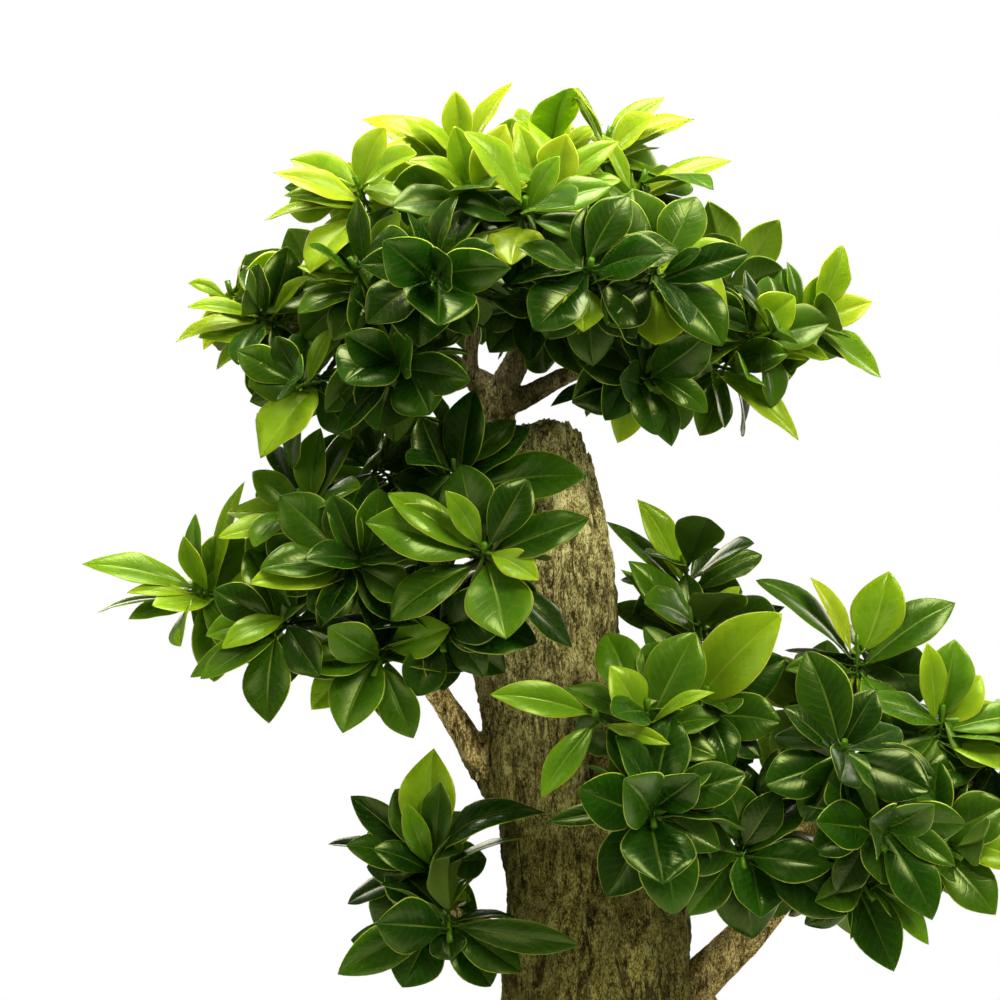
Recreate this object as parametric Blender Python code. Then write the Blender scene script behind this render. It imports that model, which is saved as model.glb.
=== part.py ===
"""A ficus bonsai in a rectangular stoneware pot, about 0.8 m tall.

The tree is one piece of wood: root flare, sawn-off bole, limbs and woody twigs. Every twig ends in
a leaf spray, which is one green shoot with its leaves. The pot stands on four feet at z = 0, with
the middle of its footprint at the origin. X runs to the right, Y away from the front, and Z up.
"""

import math

import bmesh
import bpy
from mathutils import Vector
from mathutils.bvhtree import BVHTree

MM = 0.001

# Pot
POT_LENGTH = 0.400
POT_WIDTH = 0.290
POT_HEIGHT = 0.115
POT_WALL = 0.009
POT_FLOOR = 0.010
POT_CORNER_RADIUS = 0.024
POT_TAPER = 0.012
LIP_OVERHANG = 0.007
LIP_HEIGHT = 0.013
FOOT_HEIGHT = 0.010
FOOT_LENGTH = 0.060
FOOT_WIDTH = 0.036
FOOT_INSET = 0.012
POT_EDGE = 0.003
FOOT_EDGE = 0.003
FOOT_CORNER_RADIUS = 0.008
DRAIN_RADIUS = 0.012
DRAIN_SPACING = 0.200
CORNER_STEPS = 4

# Soil and drainage screens
FIT_GAP = 0.0004
SOIL_BELOW_RIM = 0.010
SOIL_CROWN = 0.008
SOIL_RISES = (0.86, 0.62)
SCREEN_SIDE = 0.036
SCREEN_THICKNESS = 0.0015
SCREEN_BAR = 0.0026
SCREEN_CELLS = 3

# Tree. Points below are in millimetres from the soil level over the middle of the pot, and they
# are drawn for a tree of DRAWN_HEIGHT and a bole of DRAWN_GIRTH, then scaled to these two sizes.
TREE_HEIGHT = 0.690
DRAWN_HEIGHT = 0.690
BOLE_RADIUS = 0.052
DRAWN_GIRTH = 0.052
BOLE_SIDES = 18
ROOT_LOBES = 5
SPROUT_RADIUS = 0.0021
LIMB_STEPS = 1
TWIG_SIDES = 4
TWIG_STEPS = 3
TWIG_END = 0.004
TWIG_RADIUS = 0.0042
BUD_LENGTH = 0.004

# Leaves. The lengths in the spray list are drawn for a full leaf of DRAWN_LEAF.
LEAF_LENGTH = 0.065
DRAWN_LEAF = 0.065
LEAF_THICKNESS = 0.0014
LEAF_FOLD = 0.22
LEAF_ARCH = 0.07
LEAF_WIDEST_AT = 0.52
LEAF_CLEARANCE = 0.0008
STALK_LENGTH = 0.0075
STALK_OUTWARD = 0.5
STALK_HALF_WIDTH = 0.0015
STALK_HALF_THICKNESS = 0.0010
NODE_SPACING = 0.0042
BARE_NODES = 1
LEAVES_PER_SPRAY = 9
SPARSE_SPRAYS = ("crown_spray_16", "right_spray_01")

TREE_SCALE = TREE_HEIGHT / DRAWN_HEIGHT
GIRTH_SCALE = BOLE_RADIUS / DRAWN_GIRTH
LEAF_SCALE = LEAF_LENGTH / DRAWN_LEAF
SOIL_LEVEL = POT_HEIGHT - SOIL_BELOW_RIM

# The bole, from the root base up: x, y, z, radius, and how deep the root lobes are.
BOLE = (
    (22, 2, -66, 46, 0.10),
    (22, 2, -48, 62, 0.16),
    (23, 2, -22, 76, 0.20),
    (24, 1, -4, 82, 0.22),
    (24, 0, 6, 80, 0.22),
    (24, 0, 18, 72, 0.18),
    (23, -1, 34, 64, 0.12),
    (21, -1, 58, 59, 0.07),
    (20, -1, 90, 57, 0.04),
    (18, 0, 145, 53, 0.03),
    (11, 1, 195, 52, 0.03),
    (2, 2, 240, 52, 0.03),
    (-7, 2, 285, 51, 0.03),
    (-15, 1, 325, 49, 0.03),
    (-17, 0, 365, 47, 0.02),
    (-19, 0, 405, 44, 0.02),
    (-22, 1, 437, 41, 0.02),
    (-24, 2, 461, 37, 0.02),
)

# Limbs: a name, the number of sides, and points of x, y, z and radius in millimetres.
LIMBS = {
    "right_limb": (8, (
        (34, 0, 52, 18), (80, -2, 97, 14), (116, -5, 132, 12.5), (142, -8, 164, 11),
        (155, -8, 197, 9), (163, -5, 228, 6.5), (178, 0, 262, 5), (190, 0, 284, 3.5),
    )),
    "right_limb_out": (6, (
        (150, -8, 185, 7), (184, -12, 205, 6), (215, -15, 215, 5), (245, -12, 226, 4),
        (262, -10, 233, 3),
    )),
    "right_limb_front": (6, (
        (144, -8, 170, 6), (158, -32, 188, 5), (165, -50, 210, 4.5), (165, -60, 232, 3.5),
    )),
    "right_limb_back": (6, (
        (152, -8, 190, 6), (158, 25, 218, 5), (165, 50, 245, 3.5),
    )),
    "right_inner_limb": (7, (
        (40, -18, 135, 9), (72, -30, 168, 7), (92, -40, 192, 6.5), (104, -42, 218, 6),
        (106, -34, 250, 5), (98, -14, 282, 4.5), (90, 5, 318, 3.5),
    )),
    "front_limb": (6, (
        (25, -30, 195, 7), (38, -66, 216, 5.5), (45, -88, 234, 4.5), (44, -91, 255, 3.2),
    )),
    "left_limb": (8, (
        (-12, 0, 196, 14), (-46, -3, 226, 11.5), (-66, -5, 262, 9.5), (-84, -8, 291, 8),
        (-98, -12, 314, 7), (-112, -16, 338, 6), (-125, -20, 362, 5),
    )),
    "left_limb_out": (6, (
        (-104, -14, 325, 5.5), (-138, -20, 340, 4.8), (-170, -20, 348, 4.2),
        (-198, -14, 351, 3.4), (-214, -12, 351, 2.8),
    )),
    "left_limb_up": (6, (
        (-125, -20, 360, 5), (-137, -22, 380, 4.3), (-142, -18, 402, 3.8), (-132, -14, 420, 3),
    )),
    "left_limb_in": (6, (
        (-92, -10, 304, 6), (-88, -30, 335, 5), (-80, -44, 365, 4.5), (-76, -46, 396, 3.5),
    )),
    "left_limb_back": (6, (
        (-98, -12, 312, 5.5), (-112, 20, 332, 4.5), (-122, 42, 348, 3.2),
    )),
    "low_left_limb": (6, (
        (-10, -5, 128, 9), (-45, -12, 137, 6), (-64, -18, 143, 5), (-76, -22, 152, 4),
    )),
    "crown_stem": (10, (
        (-34, 8, 405, 17), (-44, 10, 440, 15), (-47, 10, 466, 14), (-46, 9, 486, 11.5),
    )),
    "crown_left_stem": (7, (
        (-46, 8, 478, 8), (-58, 6, 490, 7), (-63, 5, 502, 6), (-61, 4, 525, 5),
        (-58, 2, 551, 4.5), (-60, 0, 575, 4), (-63, 0, 595, 3),
    )),
    "crown_left": (6, (
        (-60, 5, 496, 5.5), (-76, 0, 499, 4.8), (-95, -8, 508, 4.4), (-115, -15, 520, 4),
        (-135, -20, 530, 3.6), (-155, -20, 534, 3.2), (-176, -16, 532, 2.6),
    )),
    "crown_left_up": (6, (
        (-112, -14, 518, 3.8), (-121, -18, 542, 3.4), (-124, -22, 565, 3), (-123, -25, 578, 2.6),
    )),
    "crown_middle": (8, (
        (-46, 8, 476, 10), (-38, 6, 495, 9), (-30, 4, 510, 8), (-22, 2, 523, 6.5),
        (-15, 0, 545, 5), (-10, -3, 572, 4), (-8, 0, 596, 3),
    )),
    "crown_right": (7, (
        (-45, 8, 474, 8), (-24, 5, 483, 7), (-4, 2, 494, 6), (25, 0, 506, 5.2),
        (50, -5, 513, 4.6), (85, -5, 518, 4), (118, -3, 522, 3.2), (134, -3, 526, 2.6),
    )),
    "crown_right_up": (6, (
        (20, 0, 505, 4.6), (33, -4, 530, 4.2), (42, -6, 556, 3.8), (38, -3, 583, 3.3),
        (30, 0, 606, 2.8),
    )),
    "crown_back": (7, (
        (-45, 8, 478, 8), (-40, 34, 494, 6.5), (-32, 64, 513, 5.2), (-28, 95, 532, 4),
    )),
    "crown_back_left": (6, (
        (-42, 28, 490, 5), (-72, 52, 508, 4.4), (-104, 62, 525, 3.8), (-128, 62, 536, 3),
    )),
    "crown_back_right": (6, (
        (-34, 55, 508, 5), (2, 72, 524, 4.4), (45, 78, 535, 3.8), (80, 70, 540, 3),
    )),
}

# Sprays: the limb it grows from, the shoot's foot (x, y, z in millimetres), the shoot's heading, and
# its chosen leaves from the lowest up. A heading is a clock angle in degrees, from +X round to +Z,
# and a lean in degrees towards the front. A leaf has its heading, length in millimetres, width as a
# share of the length, and arch as a share of the length where that isn't the usual one.
SPRAYS = {
    "crown_spray_01": ("crown_left_up", (-125, -30, 592), (110, 20), (
        (230, 30, 62, 0.52), (186, 10, 66, 0.34, 0.12), (168, -10, 52, 0.34),
        (172, 15, 52, 0.36), (164, 15, 60, 0.36), (151, 0, 54, 0.50), (50, -20, 48, 0.36),
        (70, 10, 45, 0.56),
    )),
    "crown_spray_02": ("crown_left_stem", (-68, 10, 617), (100, 5), (
        (140, 20, 50, 0.36), (163, 25, 60, 0.36, 0.14), (156, -10, 78, 0.34, 0.10),
        (143, 0, 50, 0.40), (145, 30, 45, 0.50), (58, 5, 66, 0.40), (100, 15, 42, 0.45),
    )),
    "crown_spray_03": ("crown_left_stem", (-57, -60, 587), (100, 35), (
        (236, 35, 52, 0.66), (186, 25, 54, 0.46), (205, 5, 52, 0.45), (150, 25, 52, 0.36, 0.14),
        (270, 10, 45, 0.55), (120, 15, 45, 0.40), (75, 10, 42, 0.40),
    )),
    "crown_spray_04": ("crown_middle", (-28, -80, 578), (90, 50), (
        (305, 30, 58, 0.60), (222, 20, 54, 0.52), (255, 50, 46, 0.78), (168, 25, 50, 0.42),
        (345, 10, 46, 0.50), (60, 10, 42, 0.50),
    )),
    "crown_spray_05": ("crown_middle", (-15, -40, 597), (90, 25), (
        (331, 35, 42, 0.58), (15, 15, 50, 0.42), (170, 22, 38, 0.42), (37, 0, 58, 0.34),
        (70, 20, 38, 0.78), (110, 0, 44, 0.42),
    )),
    "crown_spray_06": ("crown_middle", (-11, 30, 623), (90, -10), (
        (150, -20, 45, 0.52), (190, 25, 36, 0.60), (41, 10, 46, 0.50), (115, 0, 46, 0.32),
        (20, -20, 50, 0.42), (75, -20, 44, 0.42),
    )),
    "crown_spray_07": ("crown_right_up", (21, 10, 629), (75, 0), (
        (345, 15, 46, 0.36), (15, 0, 40, 0.36), (37, 25, 45, 0.68), (27, -25, 77, 0.30),
        (17, 10, 56, 0.52), (33, -8, 52, 0.40), (120, 5, 42, 0.42),
    )),
    "crown_spray_08": ("crown_right_up", (38, -12, 599), (65, 10), (
        (270, 30, 46, 0.50), (200, 25, 42, 0.42), (345, 0, 44, 0.42), (23, 0, 68, 0.40),
        (18, 14, 40, 0.56), (120, 10, 42, 0.36),
    )),
    "crown_spray_09": ("crown_right", (50, -50, 554), (85, 25), (
        (330, 10, 56, 0.46, 0.26), (14, 15, 56, 0.32), (155, 15, 40, 0.36), (12, -10, 62, 0.34),
        (30, -15, 40, 0.50), (35, -28, 46, 0.40), (115, -5, 40, 0.34),
    )),
    "crown_spray_10": ("crown_right", (49, -90, 543), (80, 55), (
        (270, 22, 40, 0.84), (315, 20, 60, 0.50, 0.12), (225, 32, 48, 0.66), (15, 15, 60, 0.36),
        (30, 30, 34, 0.34), (180, 15, 44, 0.50),
    )),
    "crown_spray_11": ("crown_middle", (7, -100, 541), (75, 55), (
        (268, 32, 36, 0.74), (225, 25, 50, 0.70), (10, 20, 44, 0.42), (320, 15, 45, 0.55),
        (160, 15, 45, 0.50), (90, 0, 42, 0.50),
    )),
    "crown_spray_12": ("crown_right", (38, -58, 505), (300, 35), (
        (214, 25, 50, 0.74), (258, -12, 52, 0.46), (288, 10, 44, 0.60), (240, 0, 44, 0.56),
        (328, 0, 48, 0.36, 0.14), (293, -8, 54, 0.38), (180, 0, 46, 0.52),
    )),
    "crown_spray_13": ("crown_right", (87, -20, 505), (340, 10), (
        (319, 5, 74, 0.34, 0.10), (280, 15, 44, 0.50), (349, 0, 48, 0.20), (250, 5, 46, 0.45),
        (10, 25, 44, 0.50), (215, 20, 44, 0.50),
    )),
    "crown_spray_14": ("crown_right", (108, -30, 513), (20, 15), (
        (345, 0, 40, 0.24), (290, 20, 44, 0.52), (12, 15, 46, 0.72), (45, 15, 38, 0.66),
        (350, -15, 46, 0.26), (90, 10, 44, 0.50), (140, 20, 42, 0.50),
    )),
    "crown_spray_15": ("crown_right", (140, -8, 526), (15, 5), (
        (330, 0, 40, 0.34), (165, 5, 46, 0.50), (55, 0, 40, 0.46), (18, 0, 50, 0.38),
        (95, 10, 40, 0.46), (340, 30, 34, 0.40),
    )),
    "crown_spray_16": ("crown_left", (-216, 14, 541), (110, 0), (
        (160, 5, 30, 0.34, 0.14), (39, 0, 46, 0.16, 0.10), (70, 5, 28, 0.30),
    )),
    "crown_spray_17": ("crown_left", (-182, -12, 526), (160, 15), (
        (217, 15, 48, 0.42), (190, 10, 50, 0.56), (46, 20, 40, 0.36), (185, -5, 46, 0.32),
        (195, 5, 54, 0.34, 0.12), (95, 20, 36, 0.76), (172, -20, 46, 0.32),
    )),
    "crown_spray_18": ("crown_left", (-155, -50, 493), (210, 30), (
        (235, 20, 62, 0.58), (197, -10, 44, 0.40), (185, 15, 38, 0.66), (300, 10, 46, 0.55),
        (120, 15, 34, 0.56), (65, 10, 40, 0.34), (150, 0, 44, 0.50),
    )),
    "crown_spray_19": ("crown_left", (-101, -66, 508), (245, 45), (
        (253, 12, 50, 0.74), (296, 32, 44, 0.88), (205, 42, 48, 0.84), (217, 0, 60, 0.42),
        (330, 0, 44, 0.52), (150, 15, 46, 0.52),
    )),
    "crown_spray_20": ("crown_left_stem", (-83, -96, 559), (265, 50), (
        (262, 26, 54, 0.74), (268, 48, 50, 0.90), (225, 15, 50, 0.56), (300, 15, 48, 0.52),
        (180, 15, 46, 0.50), (30, 10, 42, 0.50),
    )),
    "crown_spray_21": ("crown_left_up", (-122, -52, 544), (125, 35), (
        (200, 15, 48, 0.56), (230, 25, 46, 0.50), (158, 8, 46, 0.34), (180, 35, 42, 0.50),
        (100, 10, 46, 0.46), (60, 15, 46, 0.50), (150, 35, 40, 0.44),
    )),
    "crown_spray_22": ("crown_middle", (-21, -24, 549), (285, 30), (
        (300, 15, 52, 0.50), (230, 10, 46, 0.60), (265, 22, 46, 0.56), (345, 10, 46, 0.56),
        (190, 5, 44, 0.50), (20, 20, 44, 0.50),
    )),
    "crown_spray_23": ("crown_back_left", (-150, 66, 548), (150, -45), ()),
    "crown_spray_24": ("crown_back", (-62, 108, 562), (105, -56), ()),
    "crown_spray_25": ("crown_back_right", (30, 110, 560), (80, -58), ()),
    "crown_spray_26": ("crown_back_right", (102, 72, 552), (35, -35), ()),
    "crown_spray_27": ("crown_back", (-35, 84, 606), (95, -35), ()),
    "left_spray_01": ("left_limb_in", (-55, -80, 375), (80, 65), (
        (317, -2, 76, 0.38), (212, 12, 66, 0.48), (286, 32, 58, 0.72), (163, 12, 74, 0.44),
        (20, 8, 68, 0.44), (146, 8, 68, 0.34), (333, 25, 40, 0.42), (122, 22, 46, 0.34),
    )),
    "left_spray_02": ("left_limb_in", (-72, -48, 412), (90, 20), (
        (165, 15, 40, 0.50), (8, 12, 84, 0.38), (192, 5, 50, 0.46), (40, 0, 60, 0.48),
        (115, 5, 46, 0.58), (80, 15, 60, 0.48),
    )),
    "left_spray_03": ("left_limb_up", (-107, -20, 427), (150, 20), (
        (262, 15, 40, 0.66), (205, 10, 52, 0.56), (183, 5, 54, 0.34), (330, 5, 46, 0.50),
        (160, -12, 48, 0.42), (90, -25, 40, 0.50),
    )),
    "left_spray_04": ("left_limb_up", (-161, -30, 394), (110, 20), (
        (188, 18, 60, 0.34), (172, -15, 58, 0.48), (61, 5, 64, 0.34), (74, -8, 54, 0.46),
        (220, 20, 46, 0.48), (140, 0, 46, 0.42),
    )),
    "left_spray_05": ("left_limb_up", (-122, -60, 372), (165, 45), (
        (187, 25, 76, 0.34), (216, 20, 46, 0.68), (172, 45, 52, 0.42), (250, 20, 46, 0.55),
        (110, 15, 46, 0.50), (330, 20, 42, 0.50),
    )),
    "left_spray_06": ("left_limb_out", (-222, -10, 351), (170, 5), (
        (185, 35, 44, 0.56), (75, 0, 76, 0.22), (193, 10, 56, 0.34), (110, 15, 42, 0.50),
        (178, 22, 44, 0.24), (95, -8, 52, 0.30), (191, -5, 60, 0.26, 0.12), (173, 5, 74, 0.36),
    )),
    "left_spray_07": ("left_limb_out", (-168, -48, 342), (205, 35), (
        (266, 25, 42, 0.72), (105, 20, 44, 0.54), (208, -5, 72, 0.26), (190, 12, 52, 0.50),
        (203, 32, 50, 0.34), (150, 15, 46, 0.50), (205, 18, 62, 0.40),
    )),
    "left_spray_08": ("left_limb", (-113, -50, 329), (250, 35), (
        (245, 24, 60, 0.58), (222, 5, 62, 0.38), (200, 0, 56, 0.42), (20, 32, 52, 0.50),
        (280, 15, 46, 0.56), (180, 20, 46, 0.55),
    )),
    "left_spray_09": ("left_limb_in", (-84, -62, 345), (285, 40), (
        (275, 8, 44, 0.60), (308, 12, 46, 0.50), (245, 0, 42, 0.58), (335, 30, 40, 0.50),
    )),
    "left_spray_10": ("left_limb_back", (-122, 66, 366), (110, -50), ()),
    "lower_left_spray_01": ("low_left_limb", (-78, -32, 158), (280, 50), (
        (240, 15, 54, 0.60), (302, 15, 54, 0.62), (206, 20, 78, 0.34), (215, -20, 62, 0.30),
        (280, 45, 28, 0.80), (328, 20, 56, 0.48), (356, 24, 88, 0.34), (179, -8, 62, 0.32),
    )),
    "lower_left_spray_02": ("low_left_limb", (-84, -24, 172), (100, 35), (
        (21, 4, 60, 0.34), (163, 0, 58, 0.36), (150, -20, 70, 0.30), (155, 30, 46, 0.42),
        (28, 28, 90, 0.32, 0.26), (119, -10, 52, 0.56), (88, -20, 66, 0.56), (112, 15, 46, 0.36),
        (84, 8, 46, 0.46), (20, 35, 36, 0.34),
    )),
    "lower_left_spray_03": ("low_left_limb", (-88, 16, 160), (140, -40), ()),
    "right_spray_01": ("front_limb", (19, -97, 278), (120, 55), (
        (344, 22, 46, 0.22), (232, 15, 58, 0.48), (167, 15, 68, 0.38),
    )),
    "right_spray_02": ("front_limb", (44, -92, 266), (85, 25), (
        (171, -2, 52, 0.40), (14, 20, 48, 0.50), (345, 15, 46, 0.45), (62, -5, 66, 0.52),
        (120, 15, 44, 0.66), (27, 15, 46, 0.20, 0.16),
    )),
    "right_spray_03": ("front_limb", (47, -106, 236), (275, 60), (
        (189, 10, 62, 0.22), (243, 8, 62, 0.56), (281, 0, 66, 0.52), (19, 8, 60, 0.44),
        (278, 48, 54, 0.80), (330, 10, 46, 0.50),
    )),
    "right_spray_04": ("right_inner_limb", (83, 20, 348), (100, 0), (
        (27, -10, 54, 0.48), (139, -10, 72, 0.26), (119, 0, 66, 0.38), (170, -20, 48, 0.40),
    )),
    "right_spray_05": ("right_inner_limb", (88, -8, 312), (95, 10), (
        (155, -25, 70, 0.28), (28, -5, 60, 0.36), (144, 2, 70, 0.26), (131, 8, 72, 0.42),
        (50, -20, 44, 0.26, 0.16), (100, -20, 44, 0.40),
    )),
    "right_spray_06": ("right_inner_limb", (76, -60, 274), (70, 30), (
        (330, 20, 48, 0.56), (355, 15, 52, 0.56), (31, 0, 64, 0.46), (50, 16, 84, 0.42),
        (165, 5, 40, 0.40), (300, 5, 46, 0.50),
    )),
    "right_spray_07": ("right_limb", (190, 0, 296), (92, 0), (
        (175, 25, 54, 0.26), (300, 28, 42, 0.72), (168, -15, 48, 0.38), (35, 5, 74, 0.44),
        (140, 5, 84, 0.33), (62, -10, 58, 0.64), (121, 12, 60, 0.36), (220, 10, 46, 0.50),
    )),
    "right_spray_08": ("right_limb_out", (237, -20, 254), (85, 15), (
        (340, 20, 60, 0.30), (355, 12, 56, 0.42), (10, 5, 56, 0.42), (200, 15, 46, 0.46),
        (50, -10, 44, 0.64), (20, -12, 50, 0.40), (100, 12, 54, 0.40), (80, 0, 54, 0.52),
    )),
    "right_spray_09": ("right_limb_front", (164, -70, 248), (80, 50), (
        (280, 38, 44, 0.78), (352, 15, 60, 0.44), (343, 28, 60, 0.52), (195, 22, 52, 0.62),
        (203, 5, 54, 0.56), (60, 0, 46, 0.50), (140, 10, 46, 0.50),
    )),
    "right_spray_10": ("right_inner_limb", (107, -68, 210), (265, 50), (
        (324, 8, 78, 0.42), (278, -2, 64, 0.56), (281, 24, 48, 0.80), (225, 10, 46, 0.55),
        (106, 20, 46, 0.58), (60, 12, 44, 0.52),
    )),
    "right_spray_11": ("right_limb_front", (176, -50, 189), (300, 30), (
        (291, 15, 68, 0.48), (300, -20, 56, 0.38), (314, 5, 62, 0.30, 0.14), (262, -8, 44, 0.42),
        (220, 10, 44, 0.50), (345, 10, 46, 0.42),
    )),
    "right_spray_12": ("right_limb_front", (185, -80, 222), (285, 50), (
        (275, 26, 40, 0.86), (330, 22, 56, 0.30), (240, 5, 46, 0.54), (200, 15, 44, 0.50),
    )),
    "right_spray_13": ("right_limb_out", (226, -32, 204), (325, 30), (
        (310, 14, 62, 0.48), (294, 0, 48, 0.48), (346, 10, 60, 0.38), (30, 14, 50, 0.60),
        (255, 5, 44, 0.50), (200, 20, 44, 0.50),
    )),
    "right_spray_14": ("right_limb_out", (264, -12, 240), (20, 10), (
        (190, 22, 50, 0.46), (330, 15, 44, 0.50), (250, 15, 46, 0.50), (5, 10, 40, 0.50),
        (35, 0, 40, 0.50), (90, 5, 44, 0.50),
    )),
    "right_spray_15": ("right_limb_back", (175, 70, 258), (90, -50), ()),
}

# How far a leaf may be turned aside, in the order tried, to pass clear of its neighbours.
LEAN_TRIES = (0, 8, -8, 16, -16, 26, -26, 38, -38)
CLOCK_TRIES = (0, 7, -7, 15, -15)
ROLL_TRIES = (0, 25, -25)
LENGTH_TRIES = (1.0, 0.86)
LEVELS_TRIED = 3
LEAST_FACING = -0.35
STALK_FREE_FROM = 0.3
STALK_ROOT = 0.04

# What a leaf's upper side looks towards: the shoot's end, the sky, away from the trunk's axis, and
# the front, or the back for a spray that stands further back than BACK_SPRAY_DEPTH.
FACING_WEIGHTS = (0.7, 0.65, 0.25, 0.85)
BACK_SPRAY_DEPTH = 0.04

# Filling leaves stand around the shoot a golden angle apart, each nearer its end than the last.
FILLING_TRIES = 16
GOLDEN_ANGLE = 137.5
FIRST_OPENING = 78
OPENING_STEP = 2.5
LEAST_APART = 0.86
FILLING_LENGTHS = (0.050, 0.054, 0.058, 0.062)
FILLING_SHARES = (0.48, 0.51, 0.54)

# Colour, roughness and metallic value of each kind of piece.
STONEWARE = ((0.105, 0.060, 0.042), 0.62, 0.0)
SOIL_MIX = ((0.062, 0.040, 0.026), 0.95, 0.0)
SCREEN_PLASTIC = ((0.015, 0.016, 0.015), 0.45, 0.0)
BARK = ((0.190, 0.150, 0.095), 0.85, 0.0)
LEAF_GREEN = ((0.032, 0.120, 0.014), 0.28, 0.0)


def clear_scene():
    for obj in list(bpy.data.objects):
        bpy.data.objects.remove(obj)


def material(name, finish):
    colour, roughness, metallic = finish
    made = bpy.data.materials.new(name)
    made.use_nodes = True
    shader = made.node_tree.nodes["Principled BSDF"]
    shader.inputs["Base Color"].default_value = (*colour, 1.0)
    shader.inputs["Roughness"].default_value = roughness
    shader.inputs["Metallic"].default_value = metallic
    return made


def object_from(name, bm, finish=None, smooth=35):
    """A new object from a bmesh, with its normals out and its own material."""
    bmesh.ops.recalc_face_normals(bm, faces=bm.faces[:])
    if bm.calc_volume(signed=True) < 0:
        bmesh.ops.reverse_faces(bm, faces=bm.faces[:])
    mesh = bpy.data.meshes.new(name)
    bm.to_mesh(mesh)
    bm.free()
    mesh.shade_smooth()
    mesh.set_sharp_from_angle(angle=math.radians(smooth))
    obj = bpy.data.objects.new(name, mesh)
    bpy.context.scene.collection.objects.link(obj)
    if finish:
        mesh.materials.append(material(name + "_finish", finish))
    return obj


def helper(obj):
    """Marks a cutter or another guide, which isn't a piece of its own."""
    obj.hide_render = True
    obj.display_type = "WIRE"
    return obj


def boolean(obj, operation, other):
    modifier = obj.modifiers.new(operation.lower(), "BOOLEAN")
    modifier.operation = operation
    modifier.solver = "EXACT"
    if isinstance(other, bpy.types.Collection):
        modifier.operand_type = "COLLECTION"
        modifier.collection = other
    else:
        modifier.object = other
    return modifier


def skin(bm, lower, upper):
    """Triangles between two rings of as many vertices, all split the same way."""
    count = len(lower)
    for i in range(count):
        j = (i + 1) % count
        bm.faces.new((lower[i], lower[j], upper[j]))
        bm.faces.new((lower[i], upper[j], upper[i]))


def fan(bm, ring, centre):
    middle = bm.verts.new(centre)
    for i, vertex in enumerate(ring):
        bm.faces.new((vertex, ring[(i + 1) % len(ring)], middle))


def stack(rings, bottom=None, top=None):
    """A bmesh skinned over rings of points, its ends closed by fans to the two given points."""
    bm = bmesh.new()
    placed = [[bm.verts.new(point) for point in ring] for ring in rings]
    for lower, upper in zip(placed, placed[1:]):
        skin(bm, lower, upper)
    middle = [sum(ring, Vector()) / len(ring) for ring in rings]
    fan(bm, placed[0], middle[0] if bottom is None else bottom)
    fan(bm, placed[-1], middle[-1] if top is None else top)
    return bm


# ---- Pot, screens and soil ----


def rounded_rectangle(length, width, radius, z):
    points = []
    for corner in range(4):
        sx = 1 if corner in (0, 3) else -1
        sy = 1 if corner in (0, 1) else -1
        middle = Vector((sx * (length / 2 - radius), sy * (width / 2 - radius), z))
        for step in range(CORNER_STEPS + 1):
            angle = math.radians(90 * corner + 90 * step / CORNER_STEPS)
            points.append(middle + radius * Vector((math.cos(angle), math.sin(angle), 0)))
    return points


def pot_outline(inset, z):
    """The pot's outer outline, moved in by inset, with its corners kept parallel."""
    radius = max(POT_CORNER_RADIUS - inset, 0.004)
    return rounded_rectangle(POT_LENGTH - 2 * inset, POT_WIDTH - 2 * inset, radius, z)


def body_inset(z):
    """How far the outer wall stands in from the lip, which is the widest part, at height z."""
    rise = (z - FOOT_HEIGHT) / (POT_HEIGHT - LIP_HEIGHT - FOOT_HEIGHT)
    return LIP_OVERHANG + POT_TAPER * (1 - min(max(rise, 0.0), 1.0)) ** 1.3


def cavity_inset(z):
    return body_inset(z) + POT_WALL


FLOOR_TOP = FOOT_HEIGHT + POT_FLOOR


def wall_heights(bottom, top, count):
    return [bottom + (top - bottom) * i / (count - 1) for i in range(count)]


def drain_places():
    return [Vector((side * DRAIN_SPACING / 2, 0, 0)) for side in (-1, 1)]


def make_pot():
    under_lip = POT_HEIGHT - LIP_HEIGHT
    edge = POT_EDGE
    rings = [pot_outline(body_inset(FOOT_HEIGHT) + edge, FOOT_HEIGHT)]
    rings += [pot_outline(body_inset(z), z) for z in wall_heights(FOOT_HEIGHT + edge, under_lip, 4)]
    rings += [
        pot_outline(edge / 2, under_lip + edge / 2),
        pot_outline(0, under_lip + edge),
        pot_outline(0, POT_HEIGHT - edge),
        pot_outline(edge, POT_HEIGHT),
        pot_outline(cavity_inset(POT_HEIGHT) - edge / 2, POT_HEIGHT),
        pot_outline(cavity_inset(POT_HEIGHT), POT_HEIGHT - edge / 2),
    ]
    rings += [pot_outline(cavity_inset(z), z) for z in wall_heights(under_lip, FLOOR_TOP, 4)]
    pot = object_from("pot", stack(rings), STONEWARE)
    feet = bpy.data.collections.new("pot_feet")
    bpy.context.scene.collection.children.link(feet)
    inset = body_inset(FOOT_HEIGHT) + FOOT_INSET
    for sx in (-1, 1):
        for sy in (-1, 1):
            foot = helper(make_foot(f"foot_{sx}_{sy}"))
            foot.location.x = sx * (POT_LENGTH / 2 - inset - FOOT_LENGTH / 2)
            foot.location.y = sy * (POT_WIDTH / 2 - inset - FOOT_WIDTH / 2)
            bpy.context.scene.collection.objects.unlink(foot)
            feet.objects.link(foot)
    boolean(pot, "UNION", feet)
    for number, place in enumerate(drain_places()):
        cutter = helper(make_cylinder(f"drain_cutter_{number}", DRAIN_RADIUS, place, 0, FLOOR_TOP * 2))
        boolean(pot, "DIFFERENCE", cutter)
    return pot


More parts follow.
